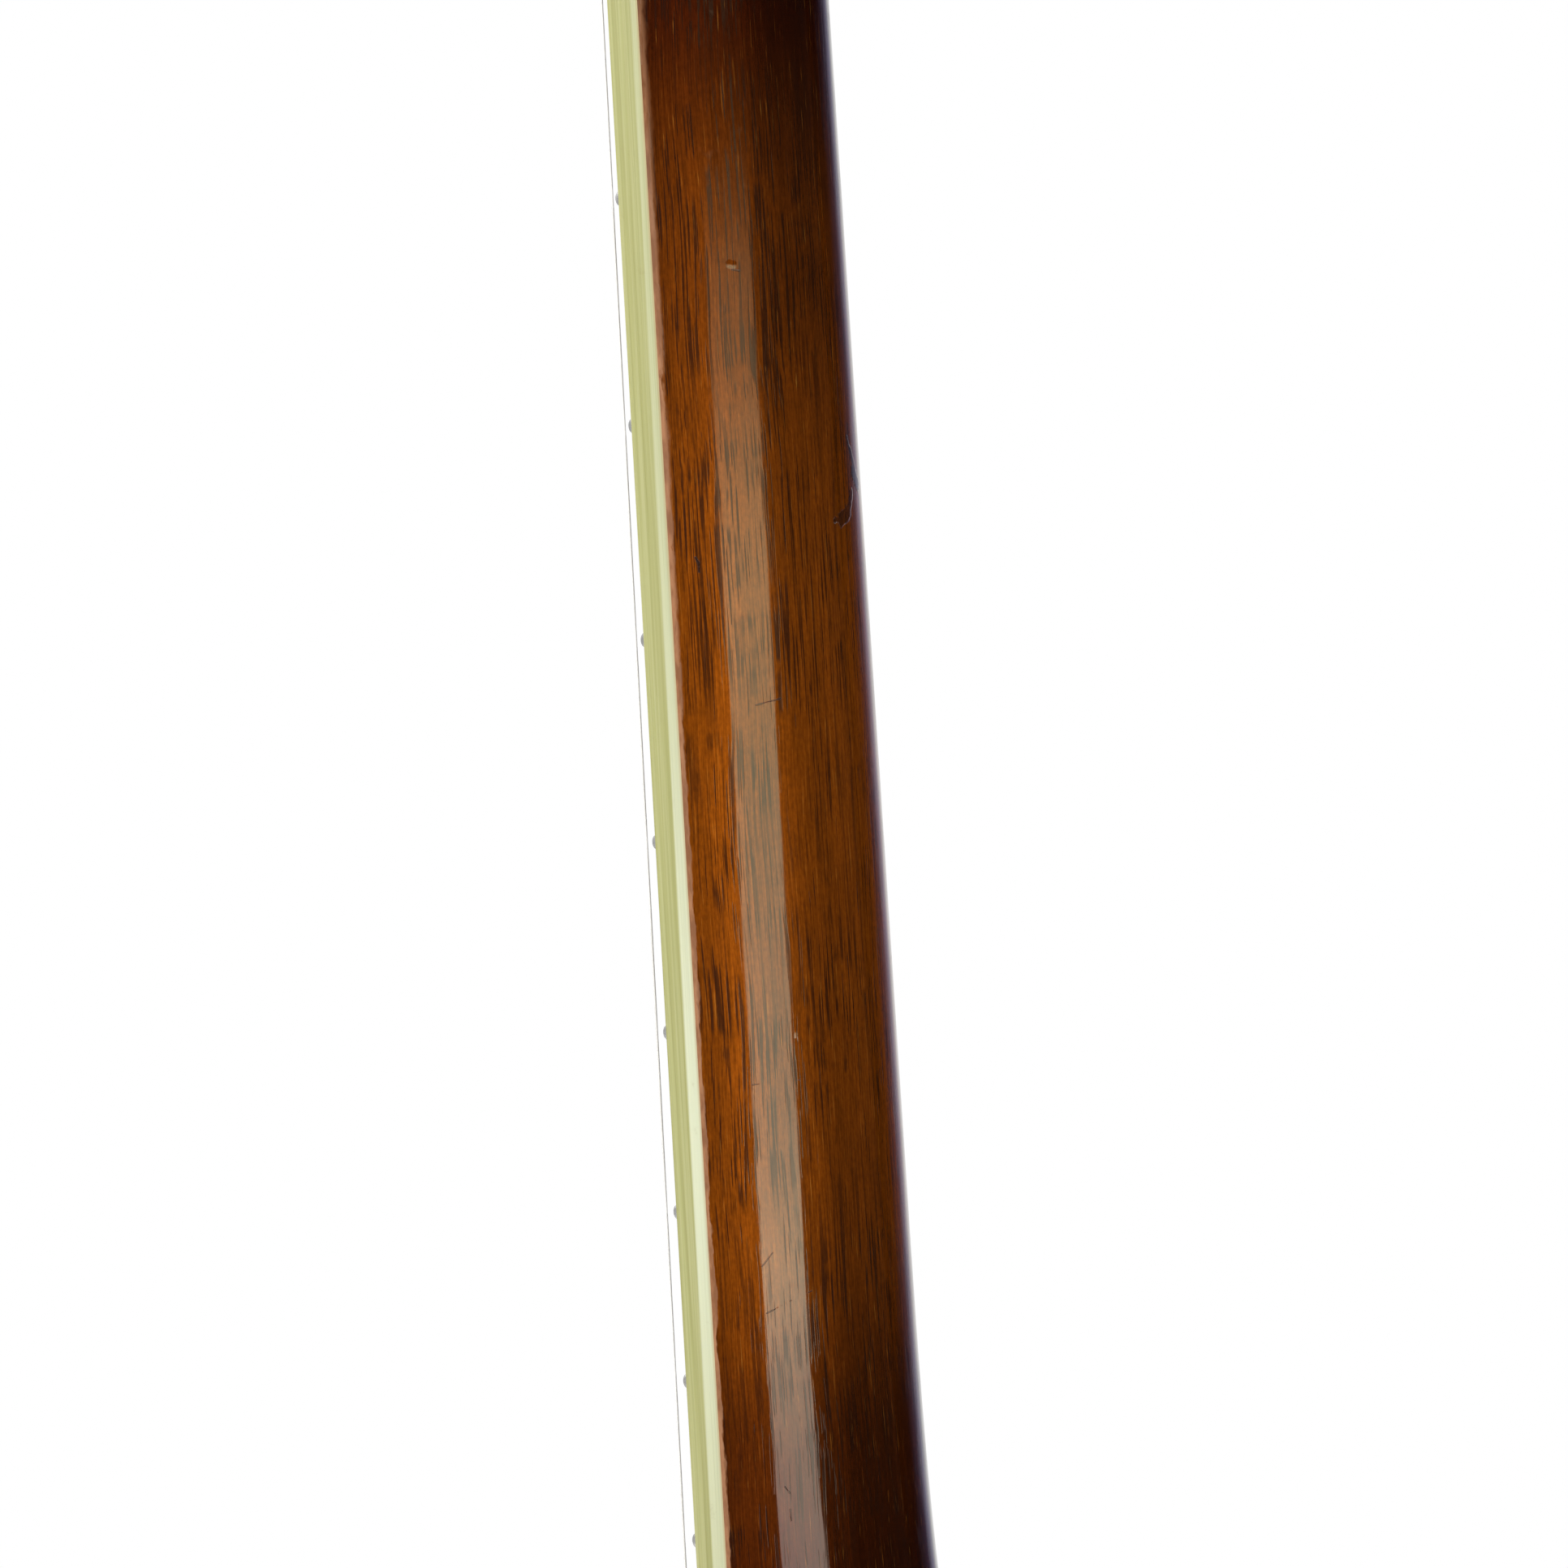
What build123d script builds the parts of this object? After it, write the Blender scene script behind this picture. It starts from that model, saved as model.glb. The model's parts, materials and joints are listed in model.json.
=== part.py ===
from build123d import *

import math
import os

# A four-string tenor banjo with a resonator, strung and fretted, in millimetres and degrees.
# Frame: +Z runs up the strings to the peghead, +X is the treble side and +Y is the back.
# Origin: on the fingerboard's face and centre line, at the edge of the nut that the strings leave.

os.makedirs("parts", exist_ok=True)

# ---- fits ----
slip = 0.05              # between pieces that are pressed or glued together round a curve
running = 0.1            # between a shaft and its bearing
clear = 0.5              # between pieces that pass each other

# ---- scale and strings, treble first ----
scale_length = 584.0
fret_count = 19
string_gauges = (0.25, 0.36, 0.58, 0.76)
nut_spread = 24.9        # between the outer strings at the nut
bridge_spread = 37.0
nut_action = 0.9         # from the fingerboard's face to a string's underside
bridge_action = 3.9
groove_depth = 0.1       # of a string's groove in the nut and in the bridge

# ---- fingerboard ----
nut_width = 30.5
octave_width = 38.5      # of the bound fingerboard at the twelfth fret
board_thickness = 3.4
board_overhang = 8.89    # of the fingerboard past its last fret
board_on_head = 2.0      # of the fingerboard's end past the rim
binding_width = 1.5
nut_thickness = 4.5
nut_fall = 0.5           # of the nut's top towards its back edge
nut_round = (1.0, 1.2)   # of the back edge, how far in and its radius
fret_width = 1.6
fret_height = 0.55
fret_inset = 0.4         # from the binding's outer edge to the foot of a fret's bevel
fret_bevel = 0.45
tang_width = 0.5
tang_depth = 1.5
mark_radius = 2.8
mark_depth = 1.2
side_dot_radius = 0.9
marked_frets = (3, 5, 7, 10, 15, 17)
octave_fret = 12

# ---- neck: the wood under the fingerboard, a shaft that sweeps into a heel ----
nut_depth = 15.0
shaft_growth = 0.0045    # of the depth for each millimetre below the nut
heel_length = 145.0
heel_trim = 4.0          # of the heel past the rim's face, cut away round the rim
heel_rise = 41.0
heel_power = 3.36
heel_steps = 16
neck_overlap = 22.0      # of the shaft with the peghead, above the nut
truss_channel = (5.0, 9.0)
truss_rod_radius = 2.3
truss_rod_y = 9.6
truss_rod_setback = 24.0   # from the rim
truss_nut_flats = 7.0
truss_nut_length = 9.0
truss_pocket = (11.0, 14.0)   # width, length
truss_pocket_start = 8.5      # above the nut

# ---- peghead: it leans back from the nut, u across, v up its face ----
peghead_tilt = 13.5
peghead_drop = 1.0       # of the peghead's face behind the fingerboard's, at the nut
peghead_thickness = 13.0
veneer_thickness = 2.0
peghead_width = 62.0
flare_height = 34.0
crown_width = 57.0
crown_start = 112.0
crown_dip = (17.0, 124.0)
shoulder_radius = 14.0
crown_radius = 26.0
peghead_length = 136.0
inlay_size = (13.0, 26.0)
inlay_height = 70.0
inlay_depth = 1.2
cover_size = (17.0, 27.0)
cover_thickness = 1.1
cover_start = 5.5
cover_flank = 6.0        # of the cover's straight sides
cover_throat = (4.2, 3.0)     # half its width near the tip, and how far from the tip
cover_waist_radius = 34.0
cover_tip_radius = 4.4
cover_screw_radius = 1.3
cover_screw_height = 0.5
cover_screw_insets = (3.2, 4.2)   # from the cover's foot and from its tip

# ---- geared tuners: u and v of each on the peghead, w outward from the peghead's back ----
tuner_spread = 40.0
tuner_rows = (45.0, 95.0)
gear_module = 0.35
sun_teeth = 12
planet_teeth = 12
ring_teeth = 36
addendum = 0.28
dedendum = 0.40
tooth_root = 0.54        # of the pitch that a tooth takes at its root
tooth_tip = 0.20
can_wall = 1.5
can_floor = 1.2
post_radius = 3.0
post_height = 16.0       # above the peghead's face
tube_wall = 1.4
bushing_flats = 12.5
bushing_height = 3.0
washer_height = 0.75
washer_margin = 1.2
carrier_thickness = 1.5
carrier_gap = 0.2
gear_height = 3.6
planet_pin_radius = 0.6
end_play = 0.3
lid_thickness = 1.4
lid_bevel = 0.3
shaft_radius = 2.5
shaft_core_radius = 1.6
button_radius = 9.5
button_height = 9.8
button_round = 2.4
button_screw_height = 1.0
button_screw_slot = (0.7, 0.6)    # width, depth
string_hole_radius = 0.7
string_hole_rise = 1.5   # above the winding
winding_base = 5.5       # above the peghead's face
winding_turns = 5

# ---- pot: a drum whose axis runs along Y ----
rim_radius = 139.7
rim_wall = 13.7
rim_bottom = 62.0
bridge_height = 12.7
head_thickness = 0.4
tone_ring_wall = 10.7
tone_ring_height = 11.0
tone_ring_round = 2.0
hoop_gap = 0.75          # between the head's collar and the tension hoop
flesh_hoop_size = 3.5
collar_depth = 7.5       # of the head's collar behind its face
hoop_wall = 3.2
hoop_step = 3.0
hoop_height = 8.0
hoop_rise = 4.0          # of the hoop in front of the head
step_drop = 2.0
hook_count = 20
hook_radius = 1.6
claw_width = 2.6
hook_thread = 9.0        # of a hook behind the flange
hook_nut_flats = 6.35
hook_nut_length = 10.0

# ---- flange ----
flange_front = 35.0
flange_thickness = 3.0
flange_collar = (2.4, 3.0)
flange_gap = 0.8
sound_slot = (25.0, 8.5)
slot_wall = 3.375        # on each side of a sound slot, to the hooks and to the edge
screw_places = (2, 8, 12, 18)  # of the spaces between hooks, counted from the neck

# ---- resonator ----
resonator_wall_thickness = 5.0
resonator_front = 33.5
resonator_edge = 84.0
resonator_crown = 90.0
back_thickness = 5.0
trim_width = 1.6
trim_height = 6.0
notch_depth = 8.5
lug_size = (12.0, 9.0)
lug_gap = 0.3            # from the flange, which the screws draw down on it
thumb_screw_radius = 5.5
thumb_screw_height = 11.0
thumb_screw_base = 3.6
screw_shank_radius = 2.0

# ---- coordinator rods ----
rod_radius = 3.2
front_rod_y = 25.5
back_rod_y = 44.0
front_rod_depth = 16.0   # into the heel
back_rod_depth = 10.0
rod_nut_flats = 10.0
rod_nut_length = 5.0
rod_tail = 2.0           # of a rod past its last nut

# ---- bridge ----
bridge_width = 70.0
bridge_foot = 6.0
bridge_top = 3.0
bridge_cap_height = 2.0
foot_width = 9.0
foot_arch = 6.2
shoulder_scoop = 5.4     # from each end of the bridge's top

# ---- tailpiece ----
tail_plate_thickness = 1.5
tail_plate_width = 38.0
tail_plate_length = 42.0
tail_plate_y = 1.0
tail_reach = 4.1         # from the hoop out to the hinge
tail_strap_width = 16.0
hinge_radius = 1.7
hinge_lift = 0.8         # of the hinge's axis in front of the plate
strap_tail = 3.0         # of the strap behind its rod
hinge_pin_radius = 0.8
cover_inside = 3.4       # from the plate's face to the cover
tail_cover_thickness = 1.2
tail_cover_skirt = 1.2
peg_radius = 1.0
peg_height = 1.8
peg_setback = 17.0       # of the string pegs from the hinge
tail_spread = 25.5

# ---- armrest ----
armrest_places = (13, 14)
armrest_overhang = 6.0   # past each clamp, degrees
armrest_width = 17.0
armrest_thickness = 2.4
armrest_round = 1.08
armrest_rise = 4.5       # of its back face in front of the tension hoop
clamp_radius = 1.5
clamp_foot = (11.0, 13.0, 2.0)
clamp_thread = 4.0       # of a clamp behind its foot


def fret_place(number):
    """Distance from the nut to a fret of the equal-tempered scale."""
    return scale_length * (1 - 2 ** (-number / 12))


# ---- places worked out from those sizes ----
board_length = fret_place(fret_count) + board_overhang
nut_to_rim = board_length - board_on_head
heel_end = nut_to_rim + heel_trim
heel_start = heel_end - heel_length
truss_rod_end = nut_to_rim - truss_rod_setback
pot_z = -(nut_to_rim + rim_radius)
head_y = bridge_height - bridge_action
tone_ring_top = head_y + head_thickness
rim_top = tone_ring_top + tone_ring_height
hoop_front = head_y - hoop_rise
hoop_back = hoop_front + hoop_height
hoop_inner = rim_radius + head_thickness + 3 * slip + hoop_gap
hoop_outer = hoop_inner + hoop_wall + hoop_step
hook_circle = hoop_outer + slip + hook_radius
flange_back = flange_front + flange_thickness
slot_circle = hook_circle + hook_radius + slot_wall + sound_slot[1] / 2
flange_outer = slot_circle + sound_slot[1] / 2 + slot_wall
wall_inner = flange_outer + flange_gap
resonator_radius = wall_inner + resonator_wall_thickness
hook_step = 360.0 / hook_count
pot_axis = Axis((0, 0, pot_z), (0, 1, 0))

tilt = math.radians(peghead_tilt)
peghead_plane = Plane(
    origin=(0, peghead_drop, nut_thickness),
    x_dir=(1, 0, 0),
    z_dir=(0, -math.cos(tilt), math.sin(tilt)),
)
tuner_seats = (
    (tuner_spread / 2, tuner_rows[0]), (tuner_spread / 2, tuner_rows[1]),
    (-tuner_spread / 2, tuner_rows[1]), (-tuner_spread / 2, tuner_rows[0]),
)
sun_pitch = gear_module * sun_teeth / 2
planet_pitch = gear_module * planet_teeth / 2
ring_pitch = gear_module * ring_teeth / 2
planet_circle = sun_pitch + planet_pitch
carrier_radius = ring_pitch - addendum - carrier_gap
can_radius = ring_pitch + dedendum + can_wall
tube_radius = post_radius + running + tube_wall
carrier_w = can_floor + end_play
gear_w = carrier_w + carrier_thickness + end_play
can_height = gear_w + gear_height + end_play
button_w = can_height + lid_thickness + 2 * end_play
hinge_z = pot_z - hoop_outer - tail_reach
hinge_y = tail_plate_y - hinge_lift
peg_z = hinge_z + peg_setback
string_x = [0.5 - index / (len(string_gauges) - 1) for index in range(len(string_gauges))]


def neck_width(distance):
    """Width of the neck and its bound fingerboard at a distance below the nut."""
    return nut_width + (octave_width - nut_width) * distance / fret_place(octave_fret)


def neck_depth(distance):
    """Depth of the wood under the fingerboard at a distance below the nut."""
    sweep_share = max(0.0, (distance - heel_start) / (heel_end - heel_start))
    return nut_depth + shaft_growth * max(0.0, distance) + heel_rise * sweep_share ** heel_power


def heel_half_width(distance, y):
    """Half the neck's width at a distance below the nut, at a height behind the fingerboard's face."""
    share = (y - board_thickness) / neck_depth(distance)
    return neck_width(distance) / 2 * math.sqrt(max(0.0, 1 - share * share))


def pot_plane(y):
    """A plane across the pot at y, with its first axis towards the neck and its normal to the back."""
    return Plane(origin=(0, y, pot_z), x_dir=(0, 0, 1), z_dir=(0, 1, 0))


def tuner_planes(w):
    """A plane across each tuner, w outward from the peghead's back, normal outward."""
    back = peghead_plane.offset(-peghead_thickness - w)
    return [
        Plane(origin=back.from_local_coords((u, v, 0)), x_dir=(1, 0, 0), z_dir=-peghead_plane.z_dir)
        for u, v in tuner_seats
    ]


def write(builder, name):
    """Label a finished piece and write its STEP file."""
    builder.part.label = name
    export_step(builder.part, f"parts/{name}.step")


def ring(inner, outer, front, back):
    """A plain hoop of the pot, between two radii and two heights."""
    with BuildPart() as hoop:
        with BuildSketch(pot_plane(front)):
            Circle(outer)
            Circle(inner, mode=Mode.SUBTRACT)
        extrude(amount=back - front)
    return hoop.part


def board_blank(margin, start, end, front, back):
    """A tapered slab that follows the fingerboard's edges, inset by a margin."""
    with BuildPart() as slab:
        with BuildSketch(Plane.XZ.offset(-front)):
            Polygon(
                (neck_width(start) / 2 - margin, -start),
                (neck_width(end) / 2 - margin, -end),
                (margin - neck_width(end) / 2, -end),
                (margin - neck_width(start) / 2, -start),
                align=None,
            )
        extrude(amount=front - back)
    return slab.part


def string_points(index):
    """Where a string's centre line bends: peg, bridge, nut and post."""
    radius = string_gauges[index] / 2
    side = 1 if string_x[index] > 0 else -1
    u, v = tuner_seats[index]
    post = peghead_plane.from_local_coords(
        (u - side * (post_radius + radius + running), v, winding_base)
    )
    return [
        Vector(
            string_x[index] * tail_spread,
            tail_plate_y - radius - slip,
            peg_z + peg_radius + slip + radius,
        ),
        Vector(string_x[index] * bridge_spread, -bridge_action - radius, -scale_length),
        Vector(string_x[index] * nut_spread, -nut_action - radius, 0),
        post,
    ]


def string_run(index, extra=0.0):
    """A string's wire from its peg to its post, or the groove it needs when it is made fatter."""
    points = string_points(index)
    radius = string_gauges[index] / 2 + extra
    with BuildPart() as run:
        with BuildLine():
            path = Polyline(*points)
        with BuildSketch(Plane(origin=points[0], z_dir=points[1] - points[0])):
            Circle(radius)
        sweep(path=path, transition=Transition.ROUND)
    return run.part


def gear(teeth, tip, root, turn=0.0):
    """Outline points of a straight-flanked gear; for a ring gear the tip is the smaller radius."""
    pitch = 2 * math.pi / teeth
    points = []
    for tooth in range(teeth):
        middle = math.radians(turn) + tooth * pitch
        for radius, share in ((root, -tooth_root), (tip, -tooth_tip), (tip, tooth_tip), (root, tooth_root)):
            angle = middle + share * pitch / 2
            points.append((radius * math.cos(angle), radius * math.sin(angle)))
    return points


# The peghead's outline: flared sides and a crown with a dip at each shoulder.
with BuildSketch() as peghead_outline:
    with BuildLine():
        Line((0, 0), (neck_width(0) / 2, 0))
        flare = Spline(
            (neck_width(0) / 2, 0),
            (peghead_width / 2, flare_height),
            tangents=((0.15, 1), (0, 1)),
        )
        side = Line(flare @ 1, (crown_width / 2, crown_start))
        shoulder = RadiusArc(side @ 1, crown_dip, -shoulder_radius)
        RadiusArc(shoulder @ 1, (0, peghead_length), crown_radius)
        mirror(about=Plane.YZ)
    make_face()

# ---- neck: peghead, shaft and heel in one piece of wood ----
truss_pocket_z = nut_thickness + truss_pocket_start
heel_step = (heel_end - heel_start) / heel_steps
neck_stations = [-neck_overlap, 0.0] + [heel_start + step * heel_step for step in range(heel_steps + 1)]
with BuildPart() as neck:
    for distance in neck_stations:
        with BuildSketch(Plane.XY.offset(-distance)):
            with BuildLine():
                back_curve = EllipticalCenterArc(
                    (0, board_thickness), neck_width(distance) / 2, neck_depth(distance),
                    start_angle=0, arc_size=180,
                )
                Line(back_curve @ 1, back_curve @ 0)
            make_face()
    loft(ruled=True)
    with BuildSketch(peghead_plane.offset(-veneer_thickness)):
        add(peghead_outline.sketch)
    extrude(amount=veneer_thickness - peghead_thickness)
    with BuildSketch(peghead_plane.offset(-veneer_thickness)):
        Rectangle(2 * peghead_width, 2 * peghead_length)
    extrude(amount=peghead_length, mode=Mode.SUBTRACT)
    with BuildSketch(Plane.XZ.offset(-board_thickness)):
        with Locations((0, nut_thickness)):
            Rectangle(2 * peghead_width, 2 * board_length, align=(Align.CENTER, Align.MAX))
    extrude(amount=2 * board_thickness, mode=Mode.SUBTRACT)
    with BuildSketch(Plane.XZ.offset(-board_thickness)):
        with Locations((0, truss_pocket_z)):
            Rectangle(truss_channel[0], truss_pocket_z + truss_rod_end, align=(Align.CENTER, Align.MAX))
    extrude(amount=-truss_channel[1], mode=Mode.SUBTRACT)
    with BuildSketch(Plane.XZ.offset(-truss_rod_y - truss_nut_flats / 2 - clear)):
        with Locations((0, truss_pocket_z)):
            Rectangle(*truss_pocket, align=(Align.CENTER, Align.MIN))
    extrude(amount=2 * peghead_thickness, mode=Mode.SUBTRACT)
    with BuildSketch(*tuner_planes(0)):
        Circle(tube_radius + slip)
    extrude(amount=-peghead_thickness, mode=Mode.SUBTRACT)
    hoop_pass = hoop_back + flesh_hoop_size + 2 * clear
    with BuildSketch(pot_plane(-board_thickness)):
        Circle(hoop_outer + clear)
    extrude(amount=hoop_pass + board_thickness, mode=Mode.SUBTRACT)
    with BuildSketch(pot_plane(-board_thickness)):
        Circle(rim_radius + slip)
    extrude(amount=rim_bottom + 3 * board_thickness, mode=Mode.SUBTRACT)
    for rod_y, rod_depth in ((front_rod_y, front_rod_depth), (back_rod_y, back_rod_depth)):
        with BuildSketch(Plane.XY.offset(-nut_to_rim)):
            with Locations((0, rod_y)):
                Circle(rod_radius + slip)
        extrude(amount=rod_depth, mode=Mode.SUBTRACT)
write(neck, "neck")

# ---- truss rod, its filler strip and its adjusting nut ----
rod_top = truss_pocket_z + truss_nut_length + rod_tail
with BuildPart() as truss_rod:
    with BuildSketch(Plane.XY.offset(-truss_rod_end)):
        with Locations((0, truss_rod_y)):
            Circle(truss_rod_radius)
    extrude(amount=truss_rod_end + rod_top)
    with BuildSketch(Plane.XY.offset(truss_pocket_z)):
        with Locations((0, truss_rod_y)):
            RegularPolygon(truss_nut_flats / 2, 6, major_radius=False)
    extrude(amount=truss_nut_length)
write(truss_rod, "truss_rod")

with BuildPart() as truss_rod_strip:
    with BuildSketch(Plane.XZ.offset(-board_thickness)):
        Rectangle(truss_channel[0], truss_rod_end, align=(Align.CENTER, Align.MAX))
    extrude(amount=board_thickness + running - truss_rod_y + truss_rod_radius)
write(truss_rod_strip, "truss_rod_strip")

# ---- fingerboard, its binding and what is let into it ----
mark_spots = [(0, -(fret_place(n) + fret_place(n - 1)) / 2) for n in marked_frets]
octave_middle = -(fret_place(octave_fret) + fret_place(octave_fret - 1)) / 2
mark_spots += [(side * nut_spread / 3, octave_middle) for side in (-1, 1)]
with BuildPart() as position_marks:
    with BuildSketch(Plane.XZ):
        with Locations(*mark_spots):
            Circle(mark_radius)
    extrude(amount=-mark_depth)
write(position_marks, "position_marks")

board_core = board_blank(binding_width, 0, board_length - binding_width, 0, board_thickness)
with BuildPart() as fingerboard:
    add(board_core)
    with BuildSketch(Plane.XZ):
        for number in range(1, fret_count + 1):
            with Locations((0, -fret_place(number))):
                Rectangle(octave_width + nut_width, tang_width)
    extrude(amount=-tang_depth, mode=Mode.SUBTRACT)
    add(position_marks.part, mode=Mode.SUBTRACT)
write(fingerboard, "fingerboard")

dot_places = [fret_place(n) / 2 + fret_place(n - 1) / 2 for n in marked_frets + (octave_fret,)]
with BuildPart() as side_dots:
    for place in dot_places:
        edge = neck_width(place) / 2
        with BuildSketch(Plane.YZ.offset(-edge)):
            with Locations((board_thickness / 2, -place)):
                Circle(side_dot_radius)
        extrude(amount=binding_width / 2)
write(side_dots, "side_dots")

with BuildPart() as fingerboard_binding:
    add(board_blank(0, 0, board_length, 0, board_thickness))
    add(board_core, mode=Mode.SUBTRACT)
    add(side_dots.part, mode=Mode.SUBTRACT)
write(fingerboard_binding, "fingerboard_binding")


def fret(number):
    """One fret wire: a crown with bevelled ends on a tang that stays inside the binding."""
    place = fret_place(number)
    half = neck_width(place) / 2 - fret_inset
    with BuildPart() as wire:
        with BuildSketch(Plane.YZ):
            with Locations((0, -place)):
                Ellipse(fret_height, fret_width / 2)
                with Locations((fret_height, 0)):
                    Rectangle(2 * fret_height, fret_width, mode=Mode.SUBTRACT)
        extrude(amount=half, both=True)
        with BuildSketch(Plane.XY.offset(-place - fret_width)):
            Polygon(
                (half, 0), (half - fret_bevel, -2 * fret_height),
                (fret_bevel - half, -2 * fret_height), (-half, 0), align=None,
            )
        extrude(amount=2 * fret_width, mode=Mode.INTERSECT)
        with BuildSketch(Plane.XZ):
            with Locations((0, -place)):
                Rectangle(2 * (half + fret_inset - binding_width - slip), tang_width)
        extrude(amount=-tang_depth)
    return wire.part


with BuildPart() as frets:
    for number in range(1, fret_count + 1):
        add(fret(number))
write(frets, "frets")

# ---- nut ----
nut_back = nut_action + groove_depth - nut_fall
with BuildPart() as nut:
    with BuildSketch(Plane.YZ.offset(-neck_width(0) / 2)):
        with BuildLine():
            front = Line((board_thickness, 0), (-nut_action - groove_depth, 0))
            top = Line(front @ 1, (-nut_back, nut_thickness - nut_round[0]))
            corner = RadiusArc(top @ 1, (nut_round[0] - nut_back, nut_thickness), nut_round[1])
            Polyline(corner @ 1, (board_thickness, nut_thickness), front @ 0)
        make_face()
    extrude(amount=neck_width(0))
    for index, gauge in enumerate(string_gauges):
        bridge_point, nut_point, post_point = string_points(index)[1:]
        groove = (post_point - nut_point).normalized()
        with BuildSketch(Plane(origin=nut_point - groove * gauge, z_dir=groove)):
            Circle(gauge / 2 + running / 3)
        extrude(amount=2 * nut_thickness, mode=Mode.SUBTRACT)
write(nut, "nut")

# ---- peghead face: veneer, inlay, truss rod cover and its screws ----
with BuildPart() as peghead_inlay:
    with BuildSketch(peghead_plane):
        with Locations((0, inlay_height)):
            Ellipse(inlay_size[0] / 2, inlay_size[1] / 2)
            Ellipse(inlay_size[1] / 3, inlay_size[0] / 4)
    extrude(amount=-inlay_depth)
write(peghead_inlay, "peghead_inlay")

with BuildPart() as peghead_veneer:
    with BuildSketch(peghead_plane):
        add(peghead_outline.sketch)
    extrude(amount=-veneer_thickness)
    split(bisect_by=Plane.XY.offset(nut_thickness), keep=Keep.TOP)
    with BuildSketch(Plane.XZ.offset(board_thickness)):
        with Locations((0, truss_pocket_z)):
            Rectangle(*truss_pocket, align=(Align.CENTER, Align.MIN))
    extrude(amount=-peghead_length, mode=Mode.SUBTRACT)
    with BuildSketch(*tuner_planes(-peghead_thickness - clear)):
        Circle(tube_radius + slip)
    extrude(amount=2 * veneer_thickness, mode=Mode.SUBTRACT)
    add(peghead_inlay.part, mode=Mode.SUBTRACT)
write(peghead_veneer, "peghead_veneer")

cover_tip = cover_start + cover_size[1]
cover_ends = (cover_start + cover_screw_insets[0], cover_tip - cover_screw_insets[1])
with BuildPart() as truss_rod_cover:
    with BuildSketch(peghead_plane):
        with BuildLine():
            foot = Line((0, cover_start), (cover_size[0] / 2, cover_start))
            flank = Line(foot @ 1, (cover_size[0] / 2, cover_start + cover_flank))
            throat = (cover_throat[0], cover_tip - cover_throat[1])
            waist = RadiusArc(flank @ 1, throat, cover_waist_radius)
            RadiusArc(waist @ 1, (0, cover_tip), -cover_tip_radius)
            mirror(about=Plane.YZ)
        make_face()
    extrude(amount=cover_thickness)
    with BuildSketch(peghead_plane):
        with Locations(*[(0, v) for v in cover_ends]):
            Circle(cover_screw_radius / 2 + slip)
    extrude(amount=cover_thickness, mode=Mode.SUBTRACT)
write(truss_rod_cover, "truss_rod_cover")

with BuildPart() as cover_screws:
    with BuildSketch(peghead_plane.offset(cover_thickness)):
        with Locations(*[(0, v) for v in cover_ends]):
            Circle(cover_screw_radius)
    extrude(amount=cover_screw_height)
    with BuildSketch(peghead_plane):
        with Locations(*[(0, v) for v in cover_ends]):
            Circle(cover_screw_radius / 2)
    extrude(amount=cover_thickness)
write(cover_screws, "cover_screws")

# ---- geared tuners ----
with BuildPart() as tuner_housings:
    with BuildSketch(*tuner_planes(0)):
        Circle(can_radius)
    extrude(amount=can_height)
    with BuildSketch(*tuner_planes(-peghead_thickness - bushing_height)):
        Circle(tube_radius)
    extrude(amount=peghead_thickness + bushing_height)
    with BuildSketch(*tuner_planes(-peghead_thickness - bushing_height)):
        Circle(post_radius + running)
    extrude(amount=peghead_thickness + bushing_height + can_floor, mode=Mode.SUBTRACT)
    with BuildSketch(*tuner_planes(can_floor)):
        Circle(carrier_radius + 2 * running)
    extrude(amount=can_height - can_floor, mode=Mode.SUBTRACT)
    with BuildSketch(*tuner_planes(gear_w - end_play / 2)):
        Polygon(*gear(ring_teeth, ring_pitch - addendum, ring_pitch + dedendum), align=None)
    extrude(amount=can_height - gear_w + end_play / 2, mode=Mode.SUBTRACT)
write(tuner_housings, "tuner_housings")

with BuildPart() as tuner_lids:
    with BuildSketch(*tuner_planes(can_height)):
        Circle(can_radius)
        Circle(shaft_radius + running, mode=Mode.SUBTRACT)
    extrude(amount=lid_thickness)
    chamfer(tuner_lids.edges().filter_by(GeomType.CIRCLE).group_by(SortBy.RADIUS)[-1], lid_bevel)
write(tuner_lids, "tuner_lids")

with BuildPart() as tuner_bushings:
    with BuildSketch(*tuner_planes(-peghead_thickness)):
        Circle(bushing_flats / 2 + washer_margin)
        Circle(tube_radius + slip, mode=Mode.SUBTRACT)
    extrude(amount=-washer_height)
    with BuildSketch(*tuner_planes(-peghead_thickness - washer_height)):
        RegularPolygon(bushing_flats / 2, 6, major_radius=False)
        Circle(tube_radius + slip, mode=Mode.SUBTRACT)
    extrude(amount=washer_height - bushing_height)
write(tuner_bushings, "tuner_bushings")

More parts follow.
